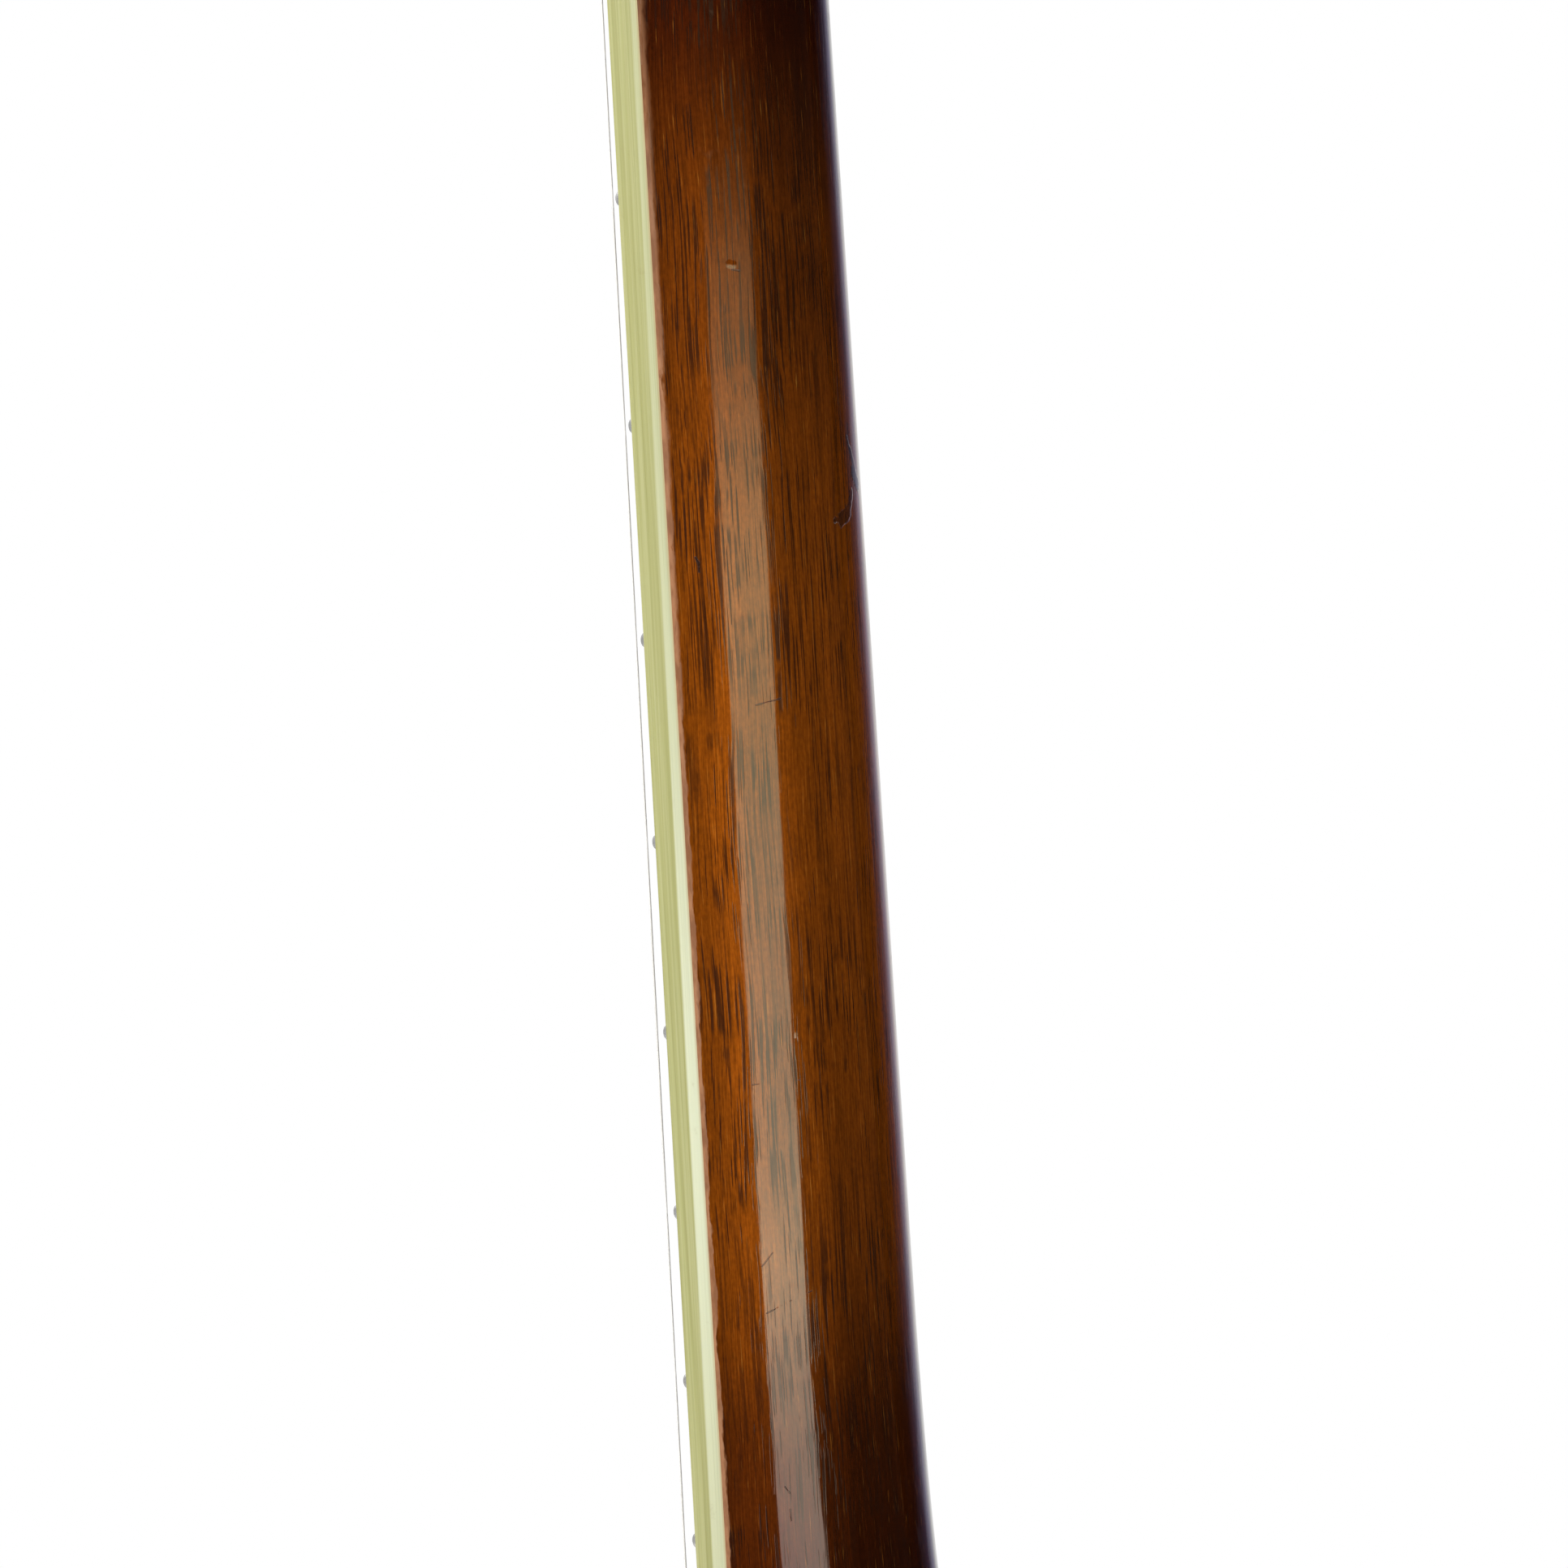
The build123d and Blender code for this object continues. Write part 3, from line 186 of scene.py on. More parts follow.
def clear_selection():
    """Leave edit mode and deselect everything."""
    if bpy.context.object and bpy.context.object.mode != "OBJECT":
        close_mesh()
    bpy.ops.object.select_all(action="DESELECT")


def take(piece):
    """Select one object and make it active."""
    clear_selection()
    piece.select_set(True)
    bpy.context.view_layer.objects.active = piece


def open_mesh(piece):
    """Edit mode on one piece, with all of it selected."""
    take(piece)
    bpy.ops.object.mode_set(mode="EDIT")
    bpy.ops.mesh.select_all(action="SELECT")


def close_mesh():
    """Back to object mode."""
    bpy.ops.object.mode_set(mode="OBJECT")


def apply(piece, kind, **settings):
    """Add a modifier and apply it."""
    take(piece)
    modifier = piece.modifiers.new(kind.title(), kind)
    for key, value in settings.items():
        setattr(modifier, key, value)
    bpy.ops.object.modifier_apply(modifier=modifier.name)


def smooth(piece, degrees=35.0):
    """Smooth shading with the creases kept."""
    take(piece)
    bpy.ops.object.shade_smooth_by_angle(angle=math.radians(degrees))


def outward(piece):
    """Close doubled points and turn every face outwards."""
    open_mesh(piece)
    bpy.ops.mesh.remove_doubles(threshold=1e-6)
    bpy.ops.mesh.normals_make_consistent(inside=False)
    close_mesh()


def settle(piece, name, body, slot, *stands_for):
    """Name a finished piece, put it on its body, hide the solids that it stands for and give it the finish of
    its slot.
    """
    take(piece)
    bpy.ops.object.transform_apply(location=True, rotation=True, scale=True)
    piece.name = name
    piece.data.name = name
    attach(piece, body)
    if stands_for:
        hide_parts(*stands_for)
    piece.data.materials.clear()
    piece.data.materials.append(finish(slot, name))


def eased(node, edge=0.0003, segments=2, degrees=35.0):
    """A merged copy of a solid with its hard edges broken, in place of the solid."""
    source = nodes[node]
    source.hide_set(False)
    take(source)
    bpy.ops.object.duplicate()
    piece = bpy.context.object
    del piece["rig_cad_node"]
    body = piece["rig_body"]
    piece.parent = None
    open_mesh(piece)
    bpy.ops.mesh.customdata_custom_splitnormals_clear()
    bpy.ops.mesh.remove_doubles(threshold=2e-6)
    bpy.ops.mesh.dissolve_limited(angle_limit=math.radians(0.4), use_dissolve_boundaries=False)
    close_mesh()
    if edge:
        apply(piece, "BEVEL", width=edge, segments=segments, limit_method="ANGLE",
              angle_limit=math.radians(40.0), use_clamp_overlap=True)
    smooth(piece, degrees)
    slot = next(part["material_slot"] for part in frame["record"]["subparts"] if part["node"] == node)
    settle(piece, f"{node}_piece", body, slot, node)


def ease_all(*solids):
    """Ease several solids: a name each, then its edge, steps and angle where the usual ones don't suit."""
    for solid in solids:
        eased(*solid)


# ---- node helpers ----


class Wiring:
    """Adds nodes to a tree and joins them, a value or a socket for each input."""

    def __init__(self, tree):
        self.tree = tree

    def add(self, kind, inputs=None, **settings):
        """A node with its settings and inputs."""
        made = self.tree.nodes.new("ShaderNode" + kind)
        for key, value in settings.items():
            setattr(made, key, value)
        for key, value in (inputs or {}).items():
            self.feed(made.inputs[key], value)
        return made

    def feed(self, socket, value):
        """Join a socket to an input, or set the input to a value."""
        if isinstance(value, bpy.types.NodeSocket):
            self.tree.links.new(value, socket)
        elif socket.type == "RGBA":
            socket.default_value = (*value[:3], 1.0)
        else:
            socket.default_value = value

    def math(self, operation, a, b=0.0, c=0.0):
        """A sum on values."""
        return self.add("Math", {0: a, 1: b, 2: c}, operation=operation).outputs[0]

    def times(self, *values):
        """Values multiplied together."""
        product = values[0]
        for value in values[1:]:
            product = self.math("MULTIPLY", product, value)
        return product

    def plus(self, value, share, base):
        """A share of one value on top of another."""
        return self.math("MULTIPLY_ADD", value, share, base)

    def vector(self, operation, a, b=(0.0, 0.0, 0.0), output=0):
        """A sum on points or directions; its output is "Value" where it ends in a number."""
        return self.add("VectorMath", {0: a, 1: b}, operation=operation).outputs[output]

    def scaled(self, vector, factor):
        """A direction made longer or shorter."""
        return self.add("VectorMath", {0: vector, "Scale": factor}, operation="SCALE").outputs[0]

    def here(self):
        """The point in the piece's own coordinates."""
        return self.add("TexCoord").outputs["Object"]

    def axes(self, point=None):
        """Across, back and up at a point."""
        return self.add("SeparateXYZ", {0: self.here() if point is None else point}).outputs

    def join(self, across, back, up):
        """A point made of its three axes."""
        return self.add("CombineXYZ", {0: across, 1: back, 2: up}).outputs[0]

    def shaded(self, tint, level):
        """A colour made lighter or darker by a value."""
        grey = self.add("CombineColor", {0: level, 1: level, 2: level}).outputs[0]
        return self.mix(1.0, tint, grey, "MULTIPLY")

    def mix(self, share, a, b, blend="MIX"):
        """One colour over another."""
        return self.add("Mix", {0: share, 6: a, 7: b}, data_type="RGBA", blend_type=blend).outputs[2]

    def spread(self, value, low, high, to_low=0.0, to_high=1.0, soft=True):
        """Carry a value from one range to another, with soft or straight ends."""
        kind = "SMOOTHSTEP" if soft else "LINEAR"
        limits = {0: value, 1: low, 2: high, 3: to_low, 4: to_high}
        return self.add("MapRange", limits, interpolation_type=kind).outputs[0]

    def ramp(self, value, stops, interpolation="LINEAR"):
        """Colours or grey levels by place between 0 and 1."""
        made = self.add("ValToRGB", {0: value})
        ramp = made.color_ramp
        ramp.interpolation = interpolation
        while len(ramp.elements) < len(stops):
            ramp.elements.new(0.5)
        for element, (place, shade) in zip(ramp.elements, stops):
            element.position = place
            element.color = (shade, shade, shade, 1.0) if isinstance(shade, float) else (*shade, 1.0)
        return made.outputs[0]

    def place(self, scale=(1, 1, 1), shift=(0, 0, 0), turn=(0, 0, 0)):
        """The point where a pattern is read: a small scale draws it out along that axis."""
        placing = {"Vector": self.here(), "Location": shift, "Rotation": turn, "Scale": scale}
        return self.add("Mapping", placing).outputs[0]

    def speckle(self, vector, scale, detail=2.0, roughness=0.5, distortion=0.0):
        """Cloudy noise, a value round 0.5."""
        noise = {"Vector": vector, "Scale": scale, "Detail": detail, "Roughness": roughness,
                 "Distortion": distortion}
        return self.add("TexNoise", noise).outputs[0]


effects = {}


def effect(name, inputs, outputs, build):
    """A shader node group, made once: inputs are (name, default) and outputs are names."""
    if name not in effects:
        group = bpy.data.node_groups.new(name, "ShaderNodeTree")
        for label, default in inputs:
            kind = "NodeSocketVector" if isinstance(default, tuple) else "NodeSocketFloat"
            group.interface.new_socket(label, in_out="INPUT", socket_type=kind).default_value = default
        for label in outputs:
            group.interface.new_socket(label, in_out="OUTPUT", socket_type="NodeSocketFloat")
        wiring = Wiring(group)
        entry = group.nodes.new("NodeGroupInput")
        leave = group.nodes.new("NodeGroupOutput")
        for label, socket in build(wiring, entry.outputs).items():
            group.links.new(socket, leave.inputs[label])
        effects[name] = group
    return effects[name]


def use(wiring, group, inputs):
    """One copy of an effect in a material."""
    made = wiring.tree.nodes.new("ShaderNodeGroup")
    made.node_tree = group
    for key, value in inputs.items():
        wiring.feed(made.inputs[key], value)
    return made.outputs


def wood_grain():
    """Open pores, fine flecks and broad figure that run along the piece."""

    def build(w, given):
        here = w.here()
        sway = w.add("TexNoise", {"Vector": here, "Scale": 38.0, "Detail": 1.0}).outputs["Color"]
        pull = w.scaled(w.vector("SUBTRACT", sway, (0.5, 0.5, 0.5)), given["Sway"])
        along = w.vector("MULTIPLY", w.vector("ADD", here, pull), given["Stretch"])
        cells = w.add("TexVoronoi", {"Vector": along, "Scale": given["Fineness"], "Randomness": 1.0})
        size = w.add("TexWhiteNoise", {"Vector": cells.outputs["Position"]}).outputs["Value"]
        crowd = w.spread(w.speckle(here, 95.0, 2.0), 0.33, 0.60, 0.20, 0.37)
        reach = w.times(size, crowd)
        pores = w.spread(w.math("SUBTRACT", cells.outputs["Distance"], reach), -0.04, 0.04, 1.0, 0.0)
        lines = w.spread(w.speckle(along, w.times(given["Fineness"], 0.9), 1.0), 0.525, 0.59)
        broken = w.spread(w.speckle(here, 150.0, 2.0), 0.36, 0.50)
        lines = w.times(lines, broken, w.spread(crowd, 0.20, 0.40, 0.45, 0.95))
        pores = w.math("MAXIMUM", pores, lines)
        thin = w.speckle(along, w.times(given["Fineness"], 1.9), 3.0, 0.62)
        wide = w.speckle(along, w.times(given["Fineness"], 0.11), 3.0, 0.55, 0.6)
        return {"Pores": pores, "Flecks": thin, "Figure": wide}

    return effect("Wood grain", [("Stretch", (1.0, 1.0, 0.05)), ("Fineness", 1900.0), ("Sway", 0.0012)],
                  ["Pores", "Flecks", "Figure"], build)


def handling():
    """Hairline scratches in two directions, and the smudges of hands."""

    def build(w, given):
        first = w.speckle(w.place((1.0, 1.0, 0.04), turn=(0.5, 0.35, 0.0)), given["Fineness"], 1.0, 0.5)
        second = w.speckle(w.place((0.05, 1.0, 1.0), turn=(0.0, 0.6, 0.9)), given["Fineness"], 1.0, 0.5)
        lines = w.math("MAXIMUM", w.spread(first, 0.70, 0.76), w.spread(second, 0.71, 0.77))
        smudge = w.spread(w.speckle(w.place(), given["Smudge Size"], 3.0, 0.6), 0.40, 0.68)
        return {"Scratches": lines, "Smudges": smudge}

    return effect("Handling", [("Fineness", 900.0), ("Smudge Size", 40.0)], ["Scratches", "Smudges"], build)


def scratch():
    """A ragged scratch between two points, and a round dent: each is 1 inside and 0 outside."""

    def build(w, given):
        here = w.here()
        off = w.vector("SUBTRACT", here, given["From"])
        run = w.vector("SUBTRACT", given["To"], given["From"])
        along = w.vector("DOT_PRODUCT", off, run, "Value")
        whole = w.vector("DOT_PRODUCT", run, run, "Value")
        share = w.spread(w.math("DIVIDE", along, w.math("MAXIMUM", whole, 1e-9)), 0.0, 1.0, soft=False)
        foot = w.scaled(run, share)
        far = w.vector("DISTANCE", off, foot, "Value")
        rag = w.times(w.speckle(here, 1900.0, 2.0), 1.1)
        wide = w.math("ADD", w.math("DIVIDE", far, given["Width"]), rag)
        dome = w.spread(w.math("DIVIDE", far, given["Width"]), 0.0, 1.4, 1.0, 0.0)
        return {"Mark": w.spread(wide, 1.25, 1.60, 1.0, 0.0), "Dome": dome}

    return effect("Scratch", [("From", (0.0, 0.0, 0.0)), ("To", (0.0, 0.0, 0.0)), ("Width", 0.001)],
                  ["Mark", "Dome"], build)


def new_material(name):
    """An empty material with its shader, and its wiring."""
    made = bpy.data.materials.new(name)
    made.use_nodes = True
    return made, Wiring(made.node_tree), made.node_tree.nodes["Principled BSDF"]


def coat(w, shader, tint, rough, **constants):
    """Colour and roughness of a surface, and what is the same all over it."""
    w.feed(shader.inputs["Base Color"], tint)
    w.feed(shader.inputs["Roughness"], rough)
    for label, value in constants.items():
        shader.inputs[label.replace("_", " ")].default_value = value


def relief(w, shader, height, distance):
    """Raise the surface by a height map."""
    bump = w.add("Bump", {"Height": height, "Distance": distance, "Strength": 1.0})
    w.feed(shader.inputs["Normal"], bump.outputs[0])


# Each scratch or dent in the neck's lacquer, and one stroke of painted shadow under a dent: both ends, half
# width and darkness, which is 0 for a clean dent.
MARKS_AND_SHADOW = (
    ((0.0150, 0.0114, -0.1543), (0.0148, 0.0117, -0.1544), 0.00038, 0.0),
    # Painted shadow: a dark stroke on the lower side of the dent above, not a scratch.
    ((0.0149, 0.0116, -0.1549), (0.0143, 0.0122, -0.1551), 0.00011, 0.60),
    ((0.0012, 0.0192, -0.1738), (-0.0008, 0.0192, -0.1776), 0.00034, 0.80),
    ((0.0002, 0.0192, -0.1750), (-0.0016, 0.0191, -0.1780), 0.00034, 0.85),
    ((-0.0004, 0.0192, -0.1776), (-0.0019, 0.0191, -0.1788), 0.00100, 0.97),
    ((0.0052, 0.0186, -0.1826), (0.0042, 0.0188, -0.1827), 0.00040, 0.55),
    ((0.0040, 0.0188, -0.1826), (0.0022, 0.0190, -0.1819), 0.00090, 0.60),
    ((0.0022, 0.0190, -0.1819), (0.0008, 0.0192, -0.1798), 0.00060, 0.60),
    ((0.01748, 0.0063, -0.1856), (0.01744, 0.0066, -0.1862), 0.00014, 0.85),
    ((0.01744, 0.0066, -0.1862), (0.01742, 0.0066, -0.1872), 0.00012, 0.85),
    ((0.0155, 0.0115, -0.2019), (0.0137, 0.0137, -0.2014), 0.00010, 0.70),
    ((0.0143, 0.0136, -0.2379), (0.0141, 0.0138, -0.2382), 0.00040, 0.0),
    ((0.0174, 0.0091, -0.2428), (0.0144, 0.0135, -0.2427), 0.00009, 0.55),
    ((0.0177, 0.0092, -0.2676), (0.0162, 0.0116, -0.2664), 0.00009, 0.65),
    ((0.0162, 0.0116, -0.2664), (0.0147, 0.0135, -0.2656), 0.00009, 0.65),
    ((0.0177, 0.0090, -0.2625), (0.0171, 0.0101, -0.2611), 0.00008, 0.65),
    ((0.0175, 0.0100, -0.2865), (0.0173, 0.0104, -0.2872), 0.00012, 0.55),
    ((0.0174, 0.0104, -0.2890), (0.01735, 0.0104, -0.2902), 0.00010, 0.55),
)


def neck_wood(colours):
    """Lacquered, stained mahogany: amber in the middle of the shaft, umber towards both ends, with painted
    shade towards the neck's back.
    """
    made, w, shader = new_material("Neck mahogany")
    here = w.axes()
    burst_low, burst_high, nut_dark, nut_light = -0.305, -0.115, -0.040, 0.020
    burst = w.spread(here[2], burst_low, burst_high, soft=False)
    light = w.ramp(burst, [(0.0, 0.05), (0.076, 0.15), (0.137, 0.27), (0.205, 0.66), (0.30, 0.82),
                           (0.42, 0.90), (0.53, 0.94), (0.645, 0.85), (0.763, 0.52), (0.83, 0.42),
                           (0.918, 0.06), (1.0, 0.02)], "CARDINAL")
    light = w.math("MAXIMUM", light, w.spread(here[2], nut_dark, nut_light, 0.0, 0.24))
    grain = use(w, wood_grain(), {"Stretch": (1.0, 1.0, 0.021), "Fineness": 3700.0, "Sway": 0.0011})
    fleck = w.spread(w.speckle(w.place((1.0, 1.0, 0.45)), 3400.0, 2.0), 0.25, 0.75, 0.84, 1.16)
    streak = w.times(w.spread(grain["Flecks"], 0.30, 0.72, 0.74, 1.28), fleck)
    figure = w.spread(grain["Figure"], 0.30, 0.70, 0.84, 1.16)
    # Painted shade: the wood darkens towards the neck's back, which turns from the lamps, more so where the
    # burst is dark; the figure carries it into the stain.
    back_shade_start, back_shade_full, shaded_strip = 0.0115, 0.0165, 0.0046
    behind = w.spread(here[1], back_shade_start, back_shade_full, 1.0, w.plus(light, 0.31, 0.40))
    beside = w.spread(here[1], board_high.y, board_high.y + shaded_strip, 0.70, 1.0)
    figure = w.times(figure, behind, beside)
    stain = w.mix(light, colours.umber, colours.amber)
    stain = w.shaded(stain, streak)
    stain = w.shaded(stain, figure)
    open_pores = w.times(grain["Pores"], 0.84)
    stain = w.mix(open_pores, stain, (0.016, 0.0045, 0.0016))
    gold = w.times(w.spread(grain["Flecks"], 0.63, 0.76), 0.45)
    stain = w.mix(gold, stain, (0.46, 0.20, 0.030))
    # The stain is scraped off in a thin line beside the binding, wider and softer towards the nut.
    narrow, broad = -0.235, -0.150
    depth = w.math("SUBTRACT", here[1], board_high.y)
    ragged = w.speckle(w.place((1.0, 1.0, 0.30)), 900.0, 3.0, 0.6)
    reach = w.spread(here[2], narrow, broad, 0.00050, 0.00068, False)
    reach = w.math("ADD", reach, w.plus(ragged, 0.00120, -0.00060))
    feather = w.spread(here[2], narrow, broad, 0.00010, 0.00036, False)
    scraped = w.math("DIVIDE", w.math("SUBTRACT", depth, reach), feather)
    scraped = w.spread(scraped, -1.0, 1.0, 1.0, 0.0)
    on_shaft = w.spread(here[2], -0.002, 0.0, 1.0, 0.0)
    faded = w.spread(here[2], -0.165, -0.125, 1.0, 0.55)
    scraped = w.times(scraped, on_shaft, faded, w.spread(ragged, 0.22, 0.40, 0.25, 0.92))
    bare = w.mix(w.spread(ragged, 0.35, 0.65), colours.bare, (0.22, 0.085, 0.030))
    dark = dents = 0.0
    # Dark marks are chips and scratches, and one painted shadow under a dent.
    for start, end, wide, darkness in MARKS_AND_SHADOW:
        nick_and_shadow = use(w, scratch(), {"From": start, "To": end, "Width": wide})
        mark = nick_and_shadow["Mark"] if darkness else w.times(nick_and_shadow["Dome"], 0.45)
        dark = w.math("MAXIMUM", dark, w.times(mark, darkness))
        dents = w.math("MAXIMUM", dents, mark)
    worn = use(w, handling(), {"Fineness": 700.0, "Smudge Size": 30.0})
    stain = w.mix(scraped, stain, bare)
    stain = w.mix(dark, stain, (0.012, 0.006, 0.005))
    rough = w.plus(worn["Smudges"], 0.035, 0.055)
    for mark, share in ((worn["Scratches"], 0.05), (grain["Pores"], 0.10), (dark, 0.12), (scraped, 0.35)):
        rough = w.plus(mark, share, rough)
    coat(w, shader, stain, rough, IOR=1.5)
    ripple = w.speckle(w.place((1.0, 1.0, 0.22)), 260.0, 2.0, 0.5)
    height = w.times(ripple, 0.55)
    for mark, share in ((grain["Pores"], -0.07), (dents, 0.9), (scraped, -0.35)):
        height = w.plus(mark, share, height)
    relief(w, shader, height, 0.00005)
    return made


def drum_wood(colours):
    """The resonator's mahogany, with a dark burst at its rim."""
    made, w, shader = new_material("Resonator mahogany")
    here = w.axes(w.place(shift=(0.0, 0.0, -drum_z)))
    flat = w.join(here[0], 0.0, here[2])
    far = w.vector("LENGTH", flat, output="Value")
    light = w.ramp(w.spread(far, 0.0, back_high.x, soft=False),
                   [(0.0, 1.0), (0.45, 0.92), (0.72, 0.52), (0.90, 0.12), (1.0, 0.02)], "B_SPLINE")
    grain = use(w, wood_grain(), {"Stretch": (1.0, 0.6, 0.045), "Fineness": 1300.0, "Sway": 0.004})
    streak = w.spread(grain["Flecks"], 0.30, 0.72, 0.74, 1.30)
    broad = w.speckle(w.place((1.0, 1.0, 0.10)), 60.0, 4.0, 0.6, 1.2)
    figure = w.times(w.spread(grain["Figure"], 0.3, 0.7, 0.84, 1.16),
                    w.spread(broad, 0.3, 0.7, 0.78, 1.22))
    shade = w.times(streak, figure)
    stain = w.mix(light, colours.umber, colours.amber)
    stain = w.shaded(stain, shade)
    stain = w.mix(w.times(grain["Pores"], 0.6), stain, (0.020, 0.006, 0.002))
    worn = use(w, handling(), {"Fineness": 500.0, "Smudge Size": 14.0})
    rough = w.plus(worn["Smudges"], 0.05, 0.07)
    coat(w, shader, stain, w.plus(worn["Scratches"], 0.08, rough))
    height = w.plus(grain["Pores"], -0.15, w.speckle(w.place(), 60.0, 2.0))
    relief(w, shader, height, 0.00008)
    return made


def dark_wood(colours):
    """Oiled ebony: nearly black, with faint brown streaks and fine pores."""
    made, w, shader = new_material("Ebony")
    grain = use(w, wood_grain(), {"Stretch": (1.0, 1.0, 0.035), "Fineness": 2400.0, "Sway": 0.0008})
    brown = w.spread(grain["Figure"], 0.45, 0.72)
    shade = w.mix(w.times(brown, 0.7), colours.ebony, (0.055, 0.032, 0.018))
    shade = w.mix(w.times(grain["Pores"], 0.7), shade, (0.006, 0.004, 0.003))
    coat(w, shader, shade, w.spread(grain["Flecks"], 0.3, 0.7, 0.30, 0.48))
    relief(w, shader, w.plus(grain["Pores"], -0.6, grain["Flecks"]), 0.00003)
    return made


def pale_wood(name, tint, rough, run):
    """Maple: close grain, small flecks and a little curl."""
    made, w, shader = new_material(name)
    grain = use(w, wood_grain(), {"Stretch": run, "Fineness": 1500.0, "Sway": 0.002})
    curl = w.speckle(w.place(), 150.0, 2.0, 0.5, 0.8)
    shade = w.times(w.spread(grain["Flecks"], 0.3, 0.7, 0.82, 1.12),
                   w.spread(curl, 0.3, 0.7, 0.88, 1.1))
    body = w.shaded(tint, shade)
    dark = tuple(level * 0.45 for level in tint)
    body = w.mix(w.times(grain["Pores"], 0.35), body, dark)
    coat(w, shader, body, w.spread(grain["Figure"], 0.3, 0.7, rough, rough + 0.12))
    relief(w, shader, grain["Flecks"], 0.00002)
    return made


def ivoroid(colours):
    """Grained celluloid: fine stripes along the edge, and next to the wood a paler band that is painted
    sheen, the strip lamp's reflection laid into the colour.
    """
    made, w, shader = new_material("Ivoroid")
    here = w.axes()
    sway = w.times(w.speckle(w.place(), 22.0, 1.0), 0.00045)
    lift = w.join(w.times(here[0], 0.15), w.math("ADD", here[1], sway),
                  w.times(here[2], 0.006))
    stripes = w.speckle(lift, 2100.0, 2.0, 0.55)
    veins = w.speckle(lift, 5200.0, 1.0, 0.5)
    shade = w.ramp(stripes, [(0.30, (0.322, 0.320, 0.124)), (0.44, colours.ivory),
                             (0.56, (0.432, 0.431, 0.207)), (0.66, (0.359, 0.361, 0.147))])
    shade = w.mix(w.times(w.spread(veins, 0.52, 0.66), 0.35), shade, (0.36, 0.37, 0.13))
    # The painted sheen, a paler band where the strip lamp's reflection on the binding is laid into its
    # colour, is 1.6 mm deep low on the neck and 0.8 mm towards the nut, and weakest towards the nut, as the
    # lamp's streak on the wood is.
    inner = w.spread(here[2], -0.30, -0.12, -0.0016, -0.0008, False)
    inner = w.math("ADD", w.math("SUBTRACT", here[1], board_high.y), w.times(inner, -1.0))
    edge = w.spread(inner, -0.00012, 0.00018)
    on_board = w.spread(here[1], board_high.y + 0.0004, board_high.y + 0.0006, 1.0, 0.0)
    painted_sheen = w.times(edge, on_board, w.spread(here[2], -0.255, -0.150, 0.86, 0.30),
                    w.spread(here[2], -0.300, -0.245, 0.58, 1.0))
    shade = w.mix(painted_sheen, shade, colours.painted_sheen)
    # It darkens at the joint with the wood, where lacquer has run in.
    joint = w.spread(here[1], board_high.y - 0.00034, board_high.y - 0.00002, 0.0, 0.55)
    shade = w.mix(w.times(joint, on_board), shade, (0.45, 0.30, 0.14))
    dirt = w.times(w.spread(w.speckle(w.place(), 300.0, 4.0, 0.7), 0.62, 0.78), 0.25)
    shade = w.mix(dirt, shade, (0.25, 0.20, 0.08))
    coat(w, shader, shade, w.spread(veins, 0.3, 0.7, 0.26, 0.36), Subsurface_Weight=0.12,
         Subsurface_Radius=(0.6, 0.5, 0.25), Subsurface_Scale=0.0006)
    relief(w, shader, stripes, 0.00001)
    return made


def shell(name, base, bright, size):
    """Mother of pearl, or a plastic that copies it: curled bright clouds in a pale body."""
    made, w, shader = new_material(name)
    cloud = w.speckle(w.place(), size, 4.0, 0.55, 2.6)
    sheen = w.speckle(w.place(shift=(3.1, 1.7, 0.4)), size * 0.7, 3.0, 0.5, 2.0)
    shade = w.mix(w.spread(cloud, 0.36, 0.64), base, bright)
    shade = w.mix(w.times(w.spread(sheen, 0.50, 0.62), 0.5), shade, (0.72, 0.62, 0.66))
    shade = w.mix(w.times(w.spread(sheen, 0.46, 0.36), 0.4), shade, (0.50, 0.66, 0.62))
    coat(w, shader, shade, w.spread(cloud, 0.3, 0.7, 0.12, 0.26), Coat_Weight=0.5, Coat_Roughness=0.05)
    return made


def plating(name, tint, polish, tarnish, drawn=(1, 1, 1)):
    """Polished or drawn metal with hairlines, smudges and a little tarnish."""
    made, w, shader = new_material(name)
    worn = use(w, handling(), {"Fineness": 1400.0, "Smudge Size": 55.0})
    cloud = w.speckle(w.place(), 130.0, 4.0, 0.6)
    dull = tuple(level * share for level, share in zip(tint, (0.74, 0.70, 0.62)))
    shade = w.mix(w.times(w.spread(cloud, 0.48, 0.72), tarnish), tint, dull)
    brush = w.speckle(w.place(drawn), 3000.0, 2.0, 0.6)
    rough = w.plus(worn["Smudges"], 0.07, polish)
    rough = w.plus(worn["Scratches"], 0.16, rough)
    coat(w, shader, shade, w.plus(brush, 0.10, rough), Metallic=1.0)
    relief(w, shader, w.plus(worn["Scratches"], -0.5, brush), 0.000004)
    return made


def plain_solid(name, tint, clouded, rough, size):
    """Bone or a plastic: a slightly clouded body with fine wear."""
    made, w, shader = new_material(name)
    cloud = w.speckle(w.place((1.0, 1.0, 0.5)), size, 4.0, 0.6)
    worn = use(w, handling(), {"Fineness": 1200.0, "Smudge Size": 70.0})
    rough = w.spread(cloud, 0.3, 0.7, rough, rough + 0.1)
    coat(w, shader, w.mix(w.spread(cloud, 0.35, 0.7), tint, clouded),
         w.plus(worn["Scratches"], 0.2, rough))
    relief(w, shader, cloud, 0.00001)
    return made


